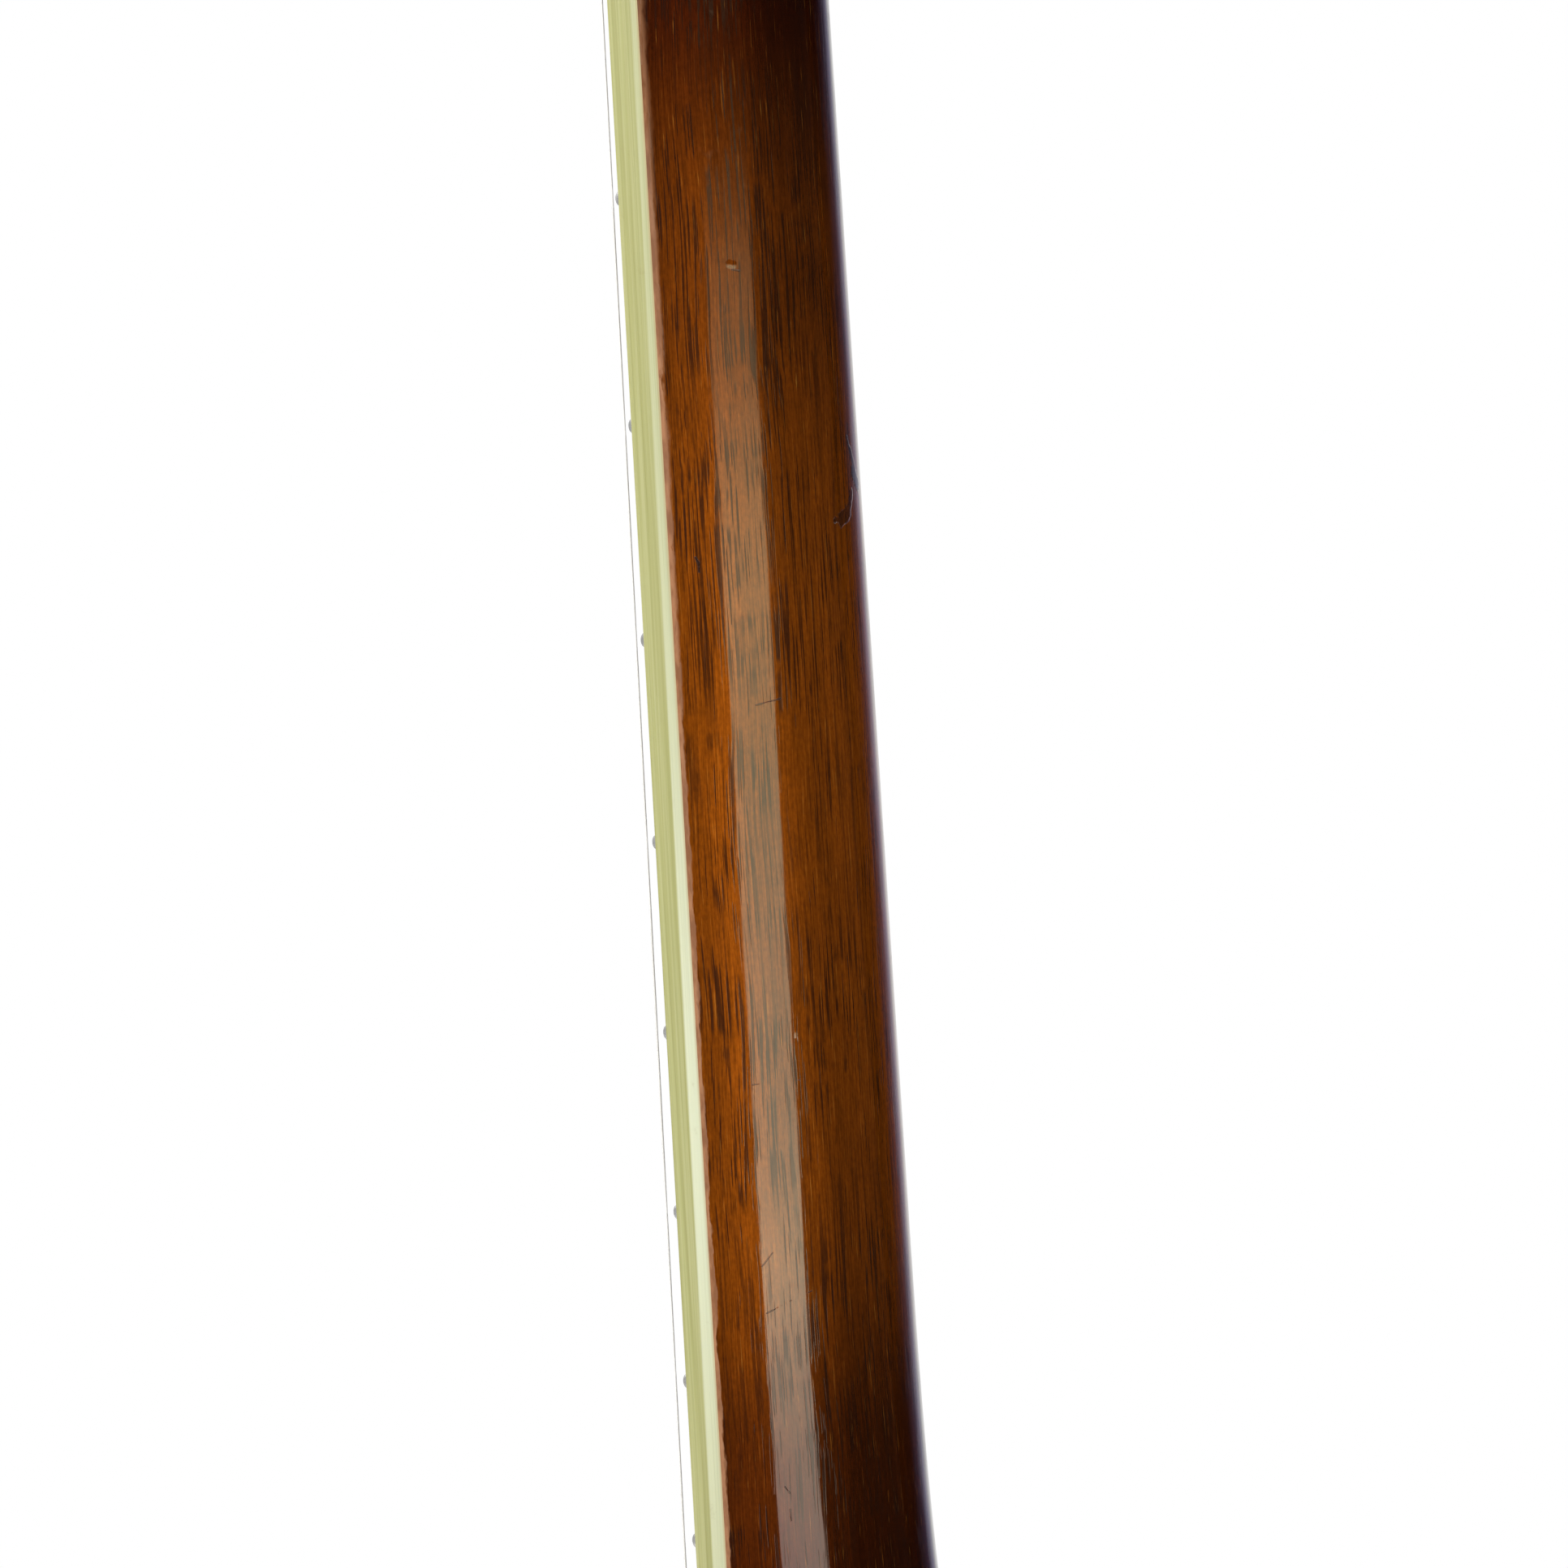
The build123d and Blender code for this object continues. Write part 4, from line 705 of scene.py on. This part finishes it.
def skin(colours):
    """The frosted head: a fine grain, and grey where the strumming hand brushes it."""
    made, w, shader = new_material("Frosted head")
    here = w.place()
    frost = w.speckle(here, 2600.0, 3.0, 0.65)
    cloud = w.speckle(here, 26.0, 4.0, 0.6)
    left, right = (-0.020, 0.009, drum_z + 0.040), (0.025, 0.009, drum_z + 0.055)
    hand = use(w, scratch(), {"From": left, "To": right, "Width": 0.035})["Mark"]
    streaks = w.speckle(w.place((1.0, 1.0, 0.5)), 110.0, 4.0, 0.7)
    smear = w.times(w.spread(streaks, 0.42, 0.70), 0.22)
    shade = w.mix(w.spread(cloud, 0.35, 0.7, 0.0, 0.5), colours.skin, (0.74, 0.715, 0.64))
    shade = w.mix(w.times(hand, smear), shade, (0.42, 0.40, 0.36))
    coat(w, shader, shade, w.spread(frost, 0.3, 0.7, 0.48, 0.62), Subsurface_Weight=0.15,
         Subsurface_Scale=0.001)
    relief(w, shader, frost, 0.00002)
    return made


def wire(name, wound):
    """Bright string wire; the thick strings are wound, with a groove between the turns."""
    made, w, shader = new_material(name)
    cloud = w.speckle(w.place((1.0, 1.0, 0.1)), 700.0, 3.0)
    tint = w.mix(w.spread(cloud, 0.4, 0.7), (0.92, 0.92, 0.92), (0.80, 0.79, 0.77))
    coat(w, shader, tint, w.spread(cloud, 0.3, 0.7, 0.30, 0.42), Metallic=0.20)
    if wound:
        turns_in_a_metre = 4200.0
        turn = w.math("PINGPONG", w.times(w.axes()[2], turns_in_a_metre), 0.5)
        relief(w, shader, w.math("SQRT", turn), 0.00007)
    else:
        relief(w, shader, cloud, 0.000003)
    return made


finishes = {}


def finish(slot, piece):
    """The material for a slot of the record; the neck and the thick strings have their own."""
    colours = bpy.context.scene.banjo_finish
    makers = {
        "neck_wood": (neck_wood, colours),
        "mahogany": (drum_wood, colours),
        "ebony": (dark_wood, colours),
        "maple": (pale_wood, "Maple", colours.maple, 0.34, (0.08, 1.0, 1.0)),
        "maple_dark": (pale_wood, "Rim maple", colours.walnut, 0.16, (0.3, 1.0, 0.3)),
        "ivoroid": (ivoroid, colours),
        "pearl": (shell, "Pearl", (0.60, 0.62, 0.58), (0.86, 0.86, 0.82), 420.0),
        "pearloid": (shell, "Pearloid", (0.58, 0.54, 0.45), (0.86, 0.83, 0.76), 260.0),
        "black_plastic": (plain_solid, "Black plastic", (0.012, 0.012, 0.013), (0.022, 0.021, 0.02), 0.16,
                          120.0),
        "bone": (plain_solid, "Bone", colours.bone, (0.66, 0.58, 0.42), 0.28, 500.0),
        "fret_wire": (plating, "Fret wire", colours.fret, 0.20, 0.5),
        "steel": (plating, "Steel", colours.steel, 0.26, 0.6, (1, 1, 0.1)),
        "nickel": (plating, "Nickel plate", colours.nickel, 0.07, 0.35),
        "bronze": (plating, "Bell bronze", colours.bronze, 0.18, 0.6),
        "brass": (plating, "Cut brass", colours.brass, 0.20, 0.5),
        "string_steel": (wire, "Plain string", False),
        "wound_string": (wire, "Wound string", True),
        "skin": (skin, colours),
    }
    if piece.startswith("neck"):
        slot = "neck_wood"
    if piece in ("string_3", "string_4", "string_3_piece", "string_4_piece"):
        slot = "wound_string"
    if slot not in finishes:
        make, *settings = makers[slot]
        finishes[slot] = make(*settings)
    return finishes[slot]


# ---- the neck's sections ----


def peghead_axes(sizes):
    """The directions up the peghead's face and out of it, and the point at its foot."""
    up = Vector((0, math.sin(sizes.tilt), math.cos(sizes.tilt)))
    face = Vector((0, -math.cos(sizes.tilt), math.sin(sizes.tilt)))
    return up, face, Vector((0, sizes.drop, nut_high.z))


def veneer_outline(sizes):
    """Half the peghead's width at each height up its face, read off the veneer's edge."""
    up, _, start = peghead_axes(sizes)
    reach = {}
    for vertex in nodes["peghead_veneer"].data.vertices:
        height = round((vertex.co - start).dot(up), 5)
        inside = height < sizes.throat and abs(vertex.co.x) < nut_high.x * 0.97
        # The flanks are straight between the throat and the crown, where the tuner holes are.
        if not inside and not sizes.throat < height < sizes.crown:
            reach[height] = max(reach.get(height, 0.0), abs(vertex.co.x))
    pairs = sorted(reach.items())
    return pairs[:-1] + [(pairs[-1][0], 0.0)]


def look_up(pairs, where):
    """Straight-line value between pairs of place and value."""
    if where <= pairs[0][0]:
        return pairs[0][1]
    for (low, a), (high, b) in zip(pairs, pairs[1:]):
        if where <= high:
            return a + (b - a) * (where - low) / max(high - low, 1e-9)
    return pairs[-1][1]


def neck_section(sizes, outline, height):
    """Front middle, back middle, half width and squareness of the neck at a height along it."""
    up, face, foot = peghead_axes(sizes)
    below = max(0.0, -height)
    half = nut_high.x + (board_high.x - nut_high.x) * below / (-board_low.z)
    sweep = max(0.0, (below - sizes.heel_start) / (sizes.heel_end - sizes.heel_start))
    depth = sizes.nut_depth + sizes.growth * below + sizes.heel_rise * sweep ** sizes.heel_power
    front = Vector((0, board_high.y, height))
    back = front + Vector((0, depth, 0))
    if height <= nut_high.z:
        return front, back, half, 2.0
    start = foot - face * sizes.veneer
    along = (height - start.z) / up.z
    front = start + up * along
    slab = front - face * (sizes.thickness - sizes.veneer)
    share = min(1.0, (height - nut_high.z) / sizes.volute)
    share = share * share * (3 - 2 * share)
    straight = Vector((0, board_high.y + depth, height))
    back = straight.lerp(slab, share)
    half = max(0.0002, look_up(outline, along))
    return front, back, half, 2.0 + (sizes.square - 2.0) * share


class BANJO_OT_neck(bpy.types.Operator):
    """Shape the neck: a round-backed shaft that sweeps into the heel and flares into the peghead"""

    bl_idname = "banjo.neck"
    bl_label = "Neck"

    def execute(self, context):
        sizes = context.scene.banjo_neck
        outline = veneer_outline(sizes)
        up, _, _ = peghead_axes(sizes)
        tip = up.z * outline[-1][0] + nut_high.z
        tip -= sizes.veneer * math.sin(sizes.tilt)
        sides, front_share, cuts = 96, 0.25, (9, 7, 3)
        clear_selection()
        bpy.ops.mesh.primitive_cylinder_add(vertices=sides, radius=1.0, depth=2.0, end_fill_type="NGON")
        piece = context.object
        open_mesh(piece)
        bpy.ops.mesh.select_all(action="DESELECT")
        bpy.ops.mesh.select_mode(type="EDGE")
        close_mesh()
        for number_cuts in cuts:
            for edge in piece.data.edges:
                a, b = (piece.data.vertices[k].co for k in edge.vertices)
                edge.select = abs(a.z - b.z) > 1e-5
            bpy.ops.object.mode_set(mode="EDIT")
            bpy.ops.mesh.subdivide(number_cuts=number_cuts)
            bpy.ops.mesh.select_all(action="DESELECT")
            close_mesh()
        # The rows are closest where the shape bends: the heel, the flare into the peghead and its top.
        rows = sorted({round(vertex.co.z, 5) for vertex in piece.data.vertices})
        heel = len(rows) * 2 // 7
        crown = len(rows) // 6
        shaft = len(rows) - heel - 2 * crown
        swept, flare, end, crowding = 0.15, sizes.volute * 1.6, tip - 0.0003, 1.7
        stops = [-sizes.heel_end + swept * k / heel for k in range(heel)]
        stops += [-sizes.heel_end + swept + (sizes.heel_end - swept) * k / shaft for k in range(shaft)]
        stops += [flare * k / crown for k in range(crown)]
        rest = end - flare
        last = len(rows) - len(stops)
        stops += [end - rest * (1 - k / (last - 1)) ** crowding for k in range(last)]
        sections = {row: neck_section(sizes, outline, stop) for row, stop in zip(rows, stops)}
        for vertex in piece.data.vertices:
            front, back, half, square = sections[round(vertex.co.z, 5)]
            turn = (math.atan2(vertex.co.y, vertex.co.x) / (2 * math.pi)) % 1.0
            if turn < 1 - front_share:
                bend = math.pi * turn / (1 - front_share)
                power = 2.0 / square
                x = half * math.copysign(abs(math.cos(bend)) ** power, math.cos(bend))
                inward = abs(math.sin(bend)) ** power
            else:
                x = half * (2 * (turn - 1 + front_share) / front_share - 1)
                inward = 0.0
            vertex.co = front.lerp(back, inward) + Vector((x, 0, 0))
        outward(piece)
        rim_gap, hoop_gap, before, past_rim, past_hoop = 0.00005, 0.0005, -0.01, 0.02, 0.0045
        rim_cut = (rim_high.z - rim_low.z) / 2 + rim_gap, rim_high.y + past_rim
        hoop_cut = (hoop_high.z - hoop_low.z) / 2 + hoop_gap, hoop_high.y + past_hoop
        for radius, behind in (rim_cut, hoop_cut):
            middle = (0, (before + behind) / 2, drum_z)
            bpy.ops.mesh.primitive_cylinder_add(vertices=360, radius=radius, depth=behind - before,
                                                location=middle, rotation=(math.pi / 2, 0, 0))
            cutter = context.object
            apply(piece, "BOOLEAN", operation="DIFFERENCE", solver="EXACT", object=cutter)
            bpy.data.objects.remove(cutter)
        outward(piece)
        smooth(piece, 40.0)
        settle(piece, "neck_shaped", "instrument", "mahogany", "neck")
        return {"FINISHED"}


class BANJO_OT_board(bpy.types.Operator):
    """Ease the edges of the fingerboard, its binding, the frets and the nut"""

    bl_idname = "banjo.board"
    bl_label = "Fingerboard"

    def execute(self, context):
        ease_all(("fingerboard", 0.0), ("fingerboard_binding", 0.00018, 3), ("frets", 0.00012, 2, 60.0),
                 ("nut", 0.0002), ("truss_rod_cover",), ("peghead_veneer",), ("cover_screws", 0.0001))
        return {"FINISHED"}


class BANJO_OT_drum(bpy.types.Operator):
    """Finish the drum: rim, tone ring, head, hoops, flange, hooks and rods"""

    bl_idname = "banjo.drum"
    bl_label = "Drum"

    def execute(self, context):
        ease_all(("rim", 0.0008), ("tone_ring", 0.0), ("head", 0.0005, 3), ("flesh_hoop",),
                 ("tension_hoop", 0.0006, 3), ("flange",), ("hooks",), ("hook_nuts",), ("coordinator_rods",))
        return {"FINISHED"}


class BANJO_OT_resonator(bpy.types.Operator):
    """Finish the resonator: its wall, back, binding, lugs and thumb screws"""

    bl_idname = "banjo.resonator"
    bl_label = "Resonator"

    def execute(self, context):
        ease_all(("resonator_wall", 0.0), ("resonator_back", 0.0004), ("resonator_binding", 0.0006, 3),
                 ("resonator_lugs",), ("thumb_screws", 0.0004, 3))
        return {"FINISHED"}


STRING_GAUGES = (0.00025, 0.00036, 0.00058, 0.00076)  # diameters, from the first string to the fourth


class BANJO_OT_tuners(bpy.types.Operator):
    """Finish the tuners and wind each string's end round its post"""

    bl_idname = "banjo.tuners"
    bl_label = "Tuners"

    def execute(self, context):
        sizes = context.scene.banjo_neck
        winding = context.scene.banjo_winding
        ease_all(("tuner_housings",), ("tuner_lids", 0.0002), ("tuner_bushings", 0.0002))
        up, face, start = peghead_axes(sizes)
        for number_, gauge in enumerate(STRING_GAUGES, 1):
            ease_all((f"tuner_post_{number_}", 0.0002), (f"tuner_shaft_{number_}", 0.0001),
                     (f"tuner_button_{number_}", 0.0))
            low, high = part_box(f"tuner_button_{number_}")
            middle = (low + high) / 2
            height = (middle - start).dot(up)
            seat = start + up * height + Vector((middle.x, 0, 0))
            foot = seat + face * (winding.base + gauge + winding.gap)
            clear_selection()
            bpy.ops.mesh.primitive_circle_add(vertices=10, radius=gauge / 2, fill_type="NOTHING",
                                              location=(winding.post_radius + 0.75 * gauge, 0, 0),
                                              rotation=(math.pi / 2, 0, 0))
            coil = context.object
            bpy.ops.object.transform_apply(location=True, rotation=True, scale=True)
            apply(coil, "SCREW", angle=2 * math.pi, screw_offset=gauge * winding.pitch,
                  iterations=winding.turns, steps=32, render_steps=32, use_merge_vertices=False)
            open_mesh(coil)
            bpy.ops.mesh.select_all(action="DESELECT")
            bpy.ops.mesh.select_non_manifold()
            bpy.ops.mesh.edge_face_add()
            bpy.ops.mesh.select_all(action="SELECT")
            bpy.ops.mesh.normals_make_consistent(inside=False)
            close_mesh()
            coil.matrix_world = Matrix.Translation(foot) @ face.to_track_quat("Z", "Y").to_matrix().to_4x4()
            smooth(coil, 60.0)
            settle(coil, f"winding_{number_}", f"post_{number_}", "string_steel")
        return {"FINISHED"}


class BANJO_OT_fittings(bpy.types.Operator):
    """Finish the bridge, the tailpiece and the armrest"""

    bl_idname = "banjo.fittings"
    bl_label = "Bridge, tailpiece and armrest"

    def execute(self, context):
        ease_all(("bridge",), ("bridge_cap", 0.0002), ("tailpiece_base",), ("tailpiece_cover",),
                 ("armrest", 0.0), ("armrest_clamps",))
        return {"FINISHED"}


class BANJO_OT_finishes(bpy.types.Operator):
    """Give every solid that still shows the finish of its slot"""

    bl_idname = "banjo.finishes"
    bl_label = "Finishes"

    def execute(self, context):
        for part in frame["record"]["subparts"]:
            solid = nodes[part["node"]]
            solid.data.materials.clear()
            solid.data.materials.append(finish(part["material_slot"], part["node"]))
        return {"FINISHED"}


# ---- stage ----


def around(azimuth, elevation, distance):
    """A place round the drum and neck, by compass angle from the face, height and distance."""
    return Vector((math.sin(azimuth) * math.cos(elevation), -math.cos(azimuth) * math.cos(elevation),
                   math.sin(elevation))) * distance


def soft_lamp(name, azimuth, elevation, distance, size, level, tint=(1.0, 1.0, 1.0)):
    """A large square lamp aimed at the instrument; its level is what a white card would show."""
    middle = Vector((0, 0, -0.30))
    data = bpy.data.lights.new(name, "AREA")
    data.shape = "SQUARE"
    data.size = size
    data.color = tint
    data.energy = level * math.pi ** 2 * distance ** 2
    lamp = bpy.data.objects.new(name, data)
    bpy.context.scene.collection.objects.link(lamp)
    off = around(math.radians(azimuth), math.radians(elevation), distance)
    lamp.location = middle + off
    lamp.rotation_mode = "QUATERNION"
    lamp.rotation_quaternion = off.to_track_quat("Z", "Y")


def mirror_panel(panel, name):
    """Let a panel show in reflections alone; returns its wiring and the inputs of its emission."""
    made = bpy.data.materials.new(name)
    made.use_nodes = True
    made.node_tree.nodes.remove(made.node_tree.nodes["Principled BSDF"])
    w = Wiring(made.node_tree)
    glow = w.add("Emission")
    w.feed(made.node_tree.nodes["Material Output"].inputs["Surface"], glow.outputs[0])
    panel.data.materials.append(made)
    panel.visible_camera = panel.visible_shadow = panel.visible_diffuse = False
    return w, glow.inputs


class BANJO_OT_stage(bpy.types.Operator):
    """Set the floor, the backdrop, the lamps and the camera"""

    bl_idname = "banjo.stage"
    bl_label = "Stage"

    def execute(self, context):
        scene = context.scene
        sizes = scene.banjo_stage
        self.world(scene, sizes)
        self.floor()
        self.strip(sizes)
        self.backdrop(sizes)
        soft_lamp("key_lamp", 70.0, 42.0, 2.2, 1.5, sizes.key, (1.0, 0.985, 0.96))
        soft_lamp("face_lamp", 10.0, 35.0, 2.6, 1.8, sizes.fill)
        soft_lamp("far_lamp", 285.0, 40.0, 2.6, 1.8, sizes.fill)
        soft_lamp("back_lamp", 205.0, 52.0, 2.6, 1.6, sizes.fill)
        self.camera(scene, sizes)
        scene.view_settings.view_transform = "Standard"
        return {"FINISHED"}

    def world(self, scene, sizes):
        """White behind the instrument, a dim light all round, and a ceiling and a front to reflect."""
        world = bpy.data.worlds.new("Studio")
        world.use_nodes = True
        scene.world = world
        w = Wiring(world.node_tree)
        path = w.add("LightPath").outputs
        way = w.axes(w.add("TexCoord").outputs["Generated"])
        ceiling = w.spread(way[2], 0.15, 0.55, 0.015, 0.50)
        front = w.spread(way[1], -0.60, -0.36, 0.60, 0.015)
        seen = w.times(path["Is Glossy Ray"], w.math("MAXIMUM", ceiling, front))
        room = w.plus(path["Is Glossy Ray"], -sizes.room, sizes.room)
        room = w.math("ADD", room, seen)
        level = w.math("MAXIMUM", path["Is Camera Ray"], path["Is Transmission Ray"])
        level = w.math("MAXIMUM", level, room)
        background = world.node_tree.nodes["Background"]
        background.inputs["Color"].default_value = (1.0, 1.0, 1.0, 1.0)
        w.feed(background.inputs["Strength"], level)

    def floor(self):
        """A pale floor that catches shadows near the instrument and fades to white."""
        clear_selection()
        bpy.ops.mesh.primitive_circle_add(vertices=96, radius=2.0, fill_type="NGON",
                                          location=(0, 0, cad_box[0].z - 0.0002))
        floor = bpy.context.object
        bpy.ops.object.transform_apply(location=True, rotation=True, scale=True)
        floor.name = "floor"
        made, w, shader = new_material("Pale floor")
        here = w.here()
        far = w.vector("LENGTH", w.vector("MULTIPLY", here, (1.0, 1.0, 0.0)), output="Value")
        grit = w.spread(w.speckle(here, 300.0, 2.0), 0.3, 0.7)
        coat(w, shader, w.mix(grit, (0.80, 0.80, 0.80), (0.84, 0.84, 0.84)), 0.85, Specular_IOR_Level=0.1)
        glow = w.add("Emission", {"Color": (1.0, 1.0, 1.0), "Strength": 1.0}).outputs[0]
        path = w.add("LightPath").outputs
        fade = w.times(w.spread(far, 0.55, 1.5), path["Is Camera Ray"])
        mixed = w.add("MixShader", {0: fade, 1: shader.outputs[0], 2: glow}).outputs[0]
        w.feed(made.node_tree.nodes["Material Output"].inputs["Surface"], mixed)
        floor.data.materials.append(made)

    def strip(self, sizes):
        """The tall lamp that streaks the lacquer: palest a third of the way up, warm and faded at its top."""
        bearing = math.radians(46.9)
        off = Vector((math.cos(bearing), math.sin(bearing), 0))
        side = Vector((-off.y, off.x, 0))
        top, bottom = -0.075, cad_box[0].z + 0.01
        near_reach, far_reach_top, far_reach_foot = 0.335, 0.37, 0.20
        clear_selection()
        bpy.ops.mesh.primitive_plane_add(size=2.0)
        panel = bpy.context.object
        for vertex in panel.data.vertices:
            height = top if vertex.co.y > 0 else bottom
            far_reach = far_reach_top if vertex.co.y > 0 else far_reach_foot
            reach = near_reach if vertex.co.x < 0 else far_reach
            vertex.co = off + side * reach * vertex.co.x + Vector((0, 0, height))
        panel.name = "strip_lamp"
        w, glow = mirror_panel(panel, "Strip lamp")
        tint = w.ramp(w.spread(w.axes()[2], -0.46, -0.10, soft=False),
                      [(0.036, (0.28, 0.20, 0.21)), (0.110, (0.40, 0.31, 0.30)),
                       (0.178, (0.56, 0.45, 0.43)), (0.252, (0.79, 0.65, 0.51)),
                       (0.330, (0.95, 0.90, 0.63)), (0.409, (0.66, 0.67, 0.475)),
                       (0.533, (0.53, 0.60, 0.425)), (0.658, (0.44, 0.515, 0.335)),
                       (0.782, (0.658, 0.539, 0.302)), (0.875, (0.329, 0.247, 0.137)),
                       (0.945, (0.265, 0.174, 0.087)), (1.0, (0.0, 0.0, 0.0))], "CARDINAL")
        w.feed(glow["Color"], tint)
        w.feed(glow["Strength"], sizes.strip)

    def backdrop(self, sizes):
        """A white curved wall beyond the instrument, violet at its edges, that only reflections show."""
        clear_selection()
        bpy.ops.mesh.primitive_plane_add(size=2.0)
        wall = bpy.context.object
        open_mesh(wall)
        bpy.ops.mesh.subdivide(number_cuts=31)
        close_mesh()
        half_turn, radius, half_height = math.radians(62.0), 2.3, 1.1
        for vertex in wall.data.vertices:
            bearing = sizes.azimuth + math.pi + vertex.co.x * half_turn
            height = cad_box[0].z + half_height + vertex.co.y * half_height
            vertex.co = around(bearing, 0.0, radius) + Vector((0, 0, height))
        wall.name = "backdrop"
        w, glow = mirror_panel(wall, "Backdrop")
        path = w.add("LightPath").outputs
        level = w.math("MAXIMUM", path["Is Camera Ray"], path["Is Glossy Ray"])
        level = w.math("MAXIMUM", level, path["Is Transmission Ray"])
        flat = w.vector("NORMALIZE", w.vector("MULTIPLY", w.here(), (1.0, 1.0, 0.0)))
        out = around(sizes.azimuth + math.pi, 0.0, 1.0)
        facing = w.vector("DOT_PRODUCT", flat, tuple(out), "Value")
        tint = w.ramp(w.spread(facing, 0.50, 1.0, soft=False),
                      [(0.0, (0.0, 0.0, 0.0)), (0.36, (0.008, 0.006, 0.012)), (0.64, (0.085, 0.075, 0.14)),
                       (0.80, (0.46, 0.44, 0.62)), (0.91, (1.0, 1.0, 1.0))])
        w.feed(glow["Color"], tint)
        w.feed(glow["Strength"], level)

    def camera(self, scene, sizes):
        """The camera, turned about its line of sight."""
        data = bpy.data.cameras.new("camera")
        data.lens = sizes.lens
        data.sensor_width = 36.0
        camera = bpy.data.objects.new("camera", data)
        scene.collection.objects.link(camera)
        out = around(sizes.azimuth, sizes.elevation, 1.0)
        right = Vector((0, 0, 1)).cross(out).normalized()
        up = out.cross(right)
        aim = right * sizes.aim_across + Vector((0, 0, sizes.aim_height))
        turned_up = up * math.cos(sizes.roll) + right * math.sin(sizes.roll)
        turned_right = right * math.cos(sizes.roll) - up * math.sin(sizes.roll)
        turn = Matrix((turned_right, turned_up, out)).transposed()
        camera.matrix_world = Matrix.Translation(aim + out * sizes.distance) @ turn.to_4x4()
        data.clip_start = 0.01
        data.clip_end = 50.0
        scene.camera = camera


class BANJO_PT_panel(bpy.types.Panel):
    """The instrument's pieces, in the order in which they are made"""

    bl_idname = "BANJO_PT_panel"
    bl_label = "Tenor banjo"
    bl_space_type = "VIEW_3D"
    bl_region_type = "UI"
    bl_category = "Banjo"

    def draw(self, context):
        for operator in OPERATORS:
            self.layout.operator(operator.bl_idname)
        for name, group in GROUPS:
            box = self.layout.box()
            box.label(text=group.__doc__)
            for key in group.__annotations__:
                box.prop(getattr(context.scene, name), key)


OPERATORS = (BANJO_OT_neck, BANJO_OT_board, BANJO_OT_drum, BANJO_OT_resonator, BANJO_OT_tuners,
             BANJO_OT_fittings, BANJO_OT_finishes, BANJO_OT_stage)
GROUPS = (("banjo_neck", NeckSizes), ("banjo_winding", WindingSizes), ("banjo_finish", FinishColours),
          ("banjo_stage", StageSizes))


def register():
    """Register the sizes, the operators and the panel."""
    for name, group in GROUPS:
        bpy.utils.register_class(group)
        setattr(bpy.types.Scene, name, PointerProperty(type=group))
    for made in (*OPERATORS, BANJO_PT_panel):
        bpy.utils.register_class(made)


def unregister():
    """Take them away again."""
    for made in (BANJO_PT_panel, *OPERATORS):
        bpy.utils.unregister_class(made)
    for name, group in GROUPS:
        delattr(bpy.types.Scene, name)
        bpy.utils.unregister_class(group)


def main():
    """Register the add-on and build the whole instrument."""
    register()
    for operator in OPERATORS:
        group, name = operator.bl_idname.split(".")
        getattr(getattr(bpy.ops, group), name)()
    clear_selection()


if __name__ == "__main__":
    main()
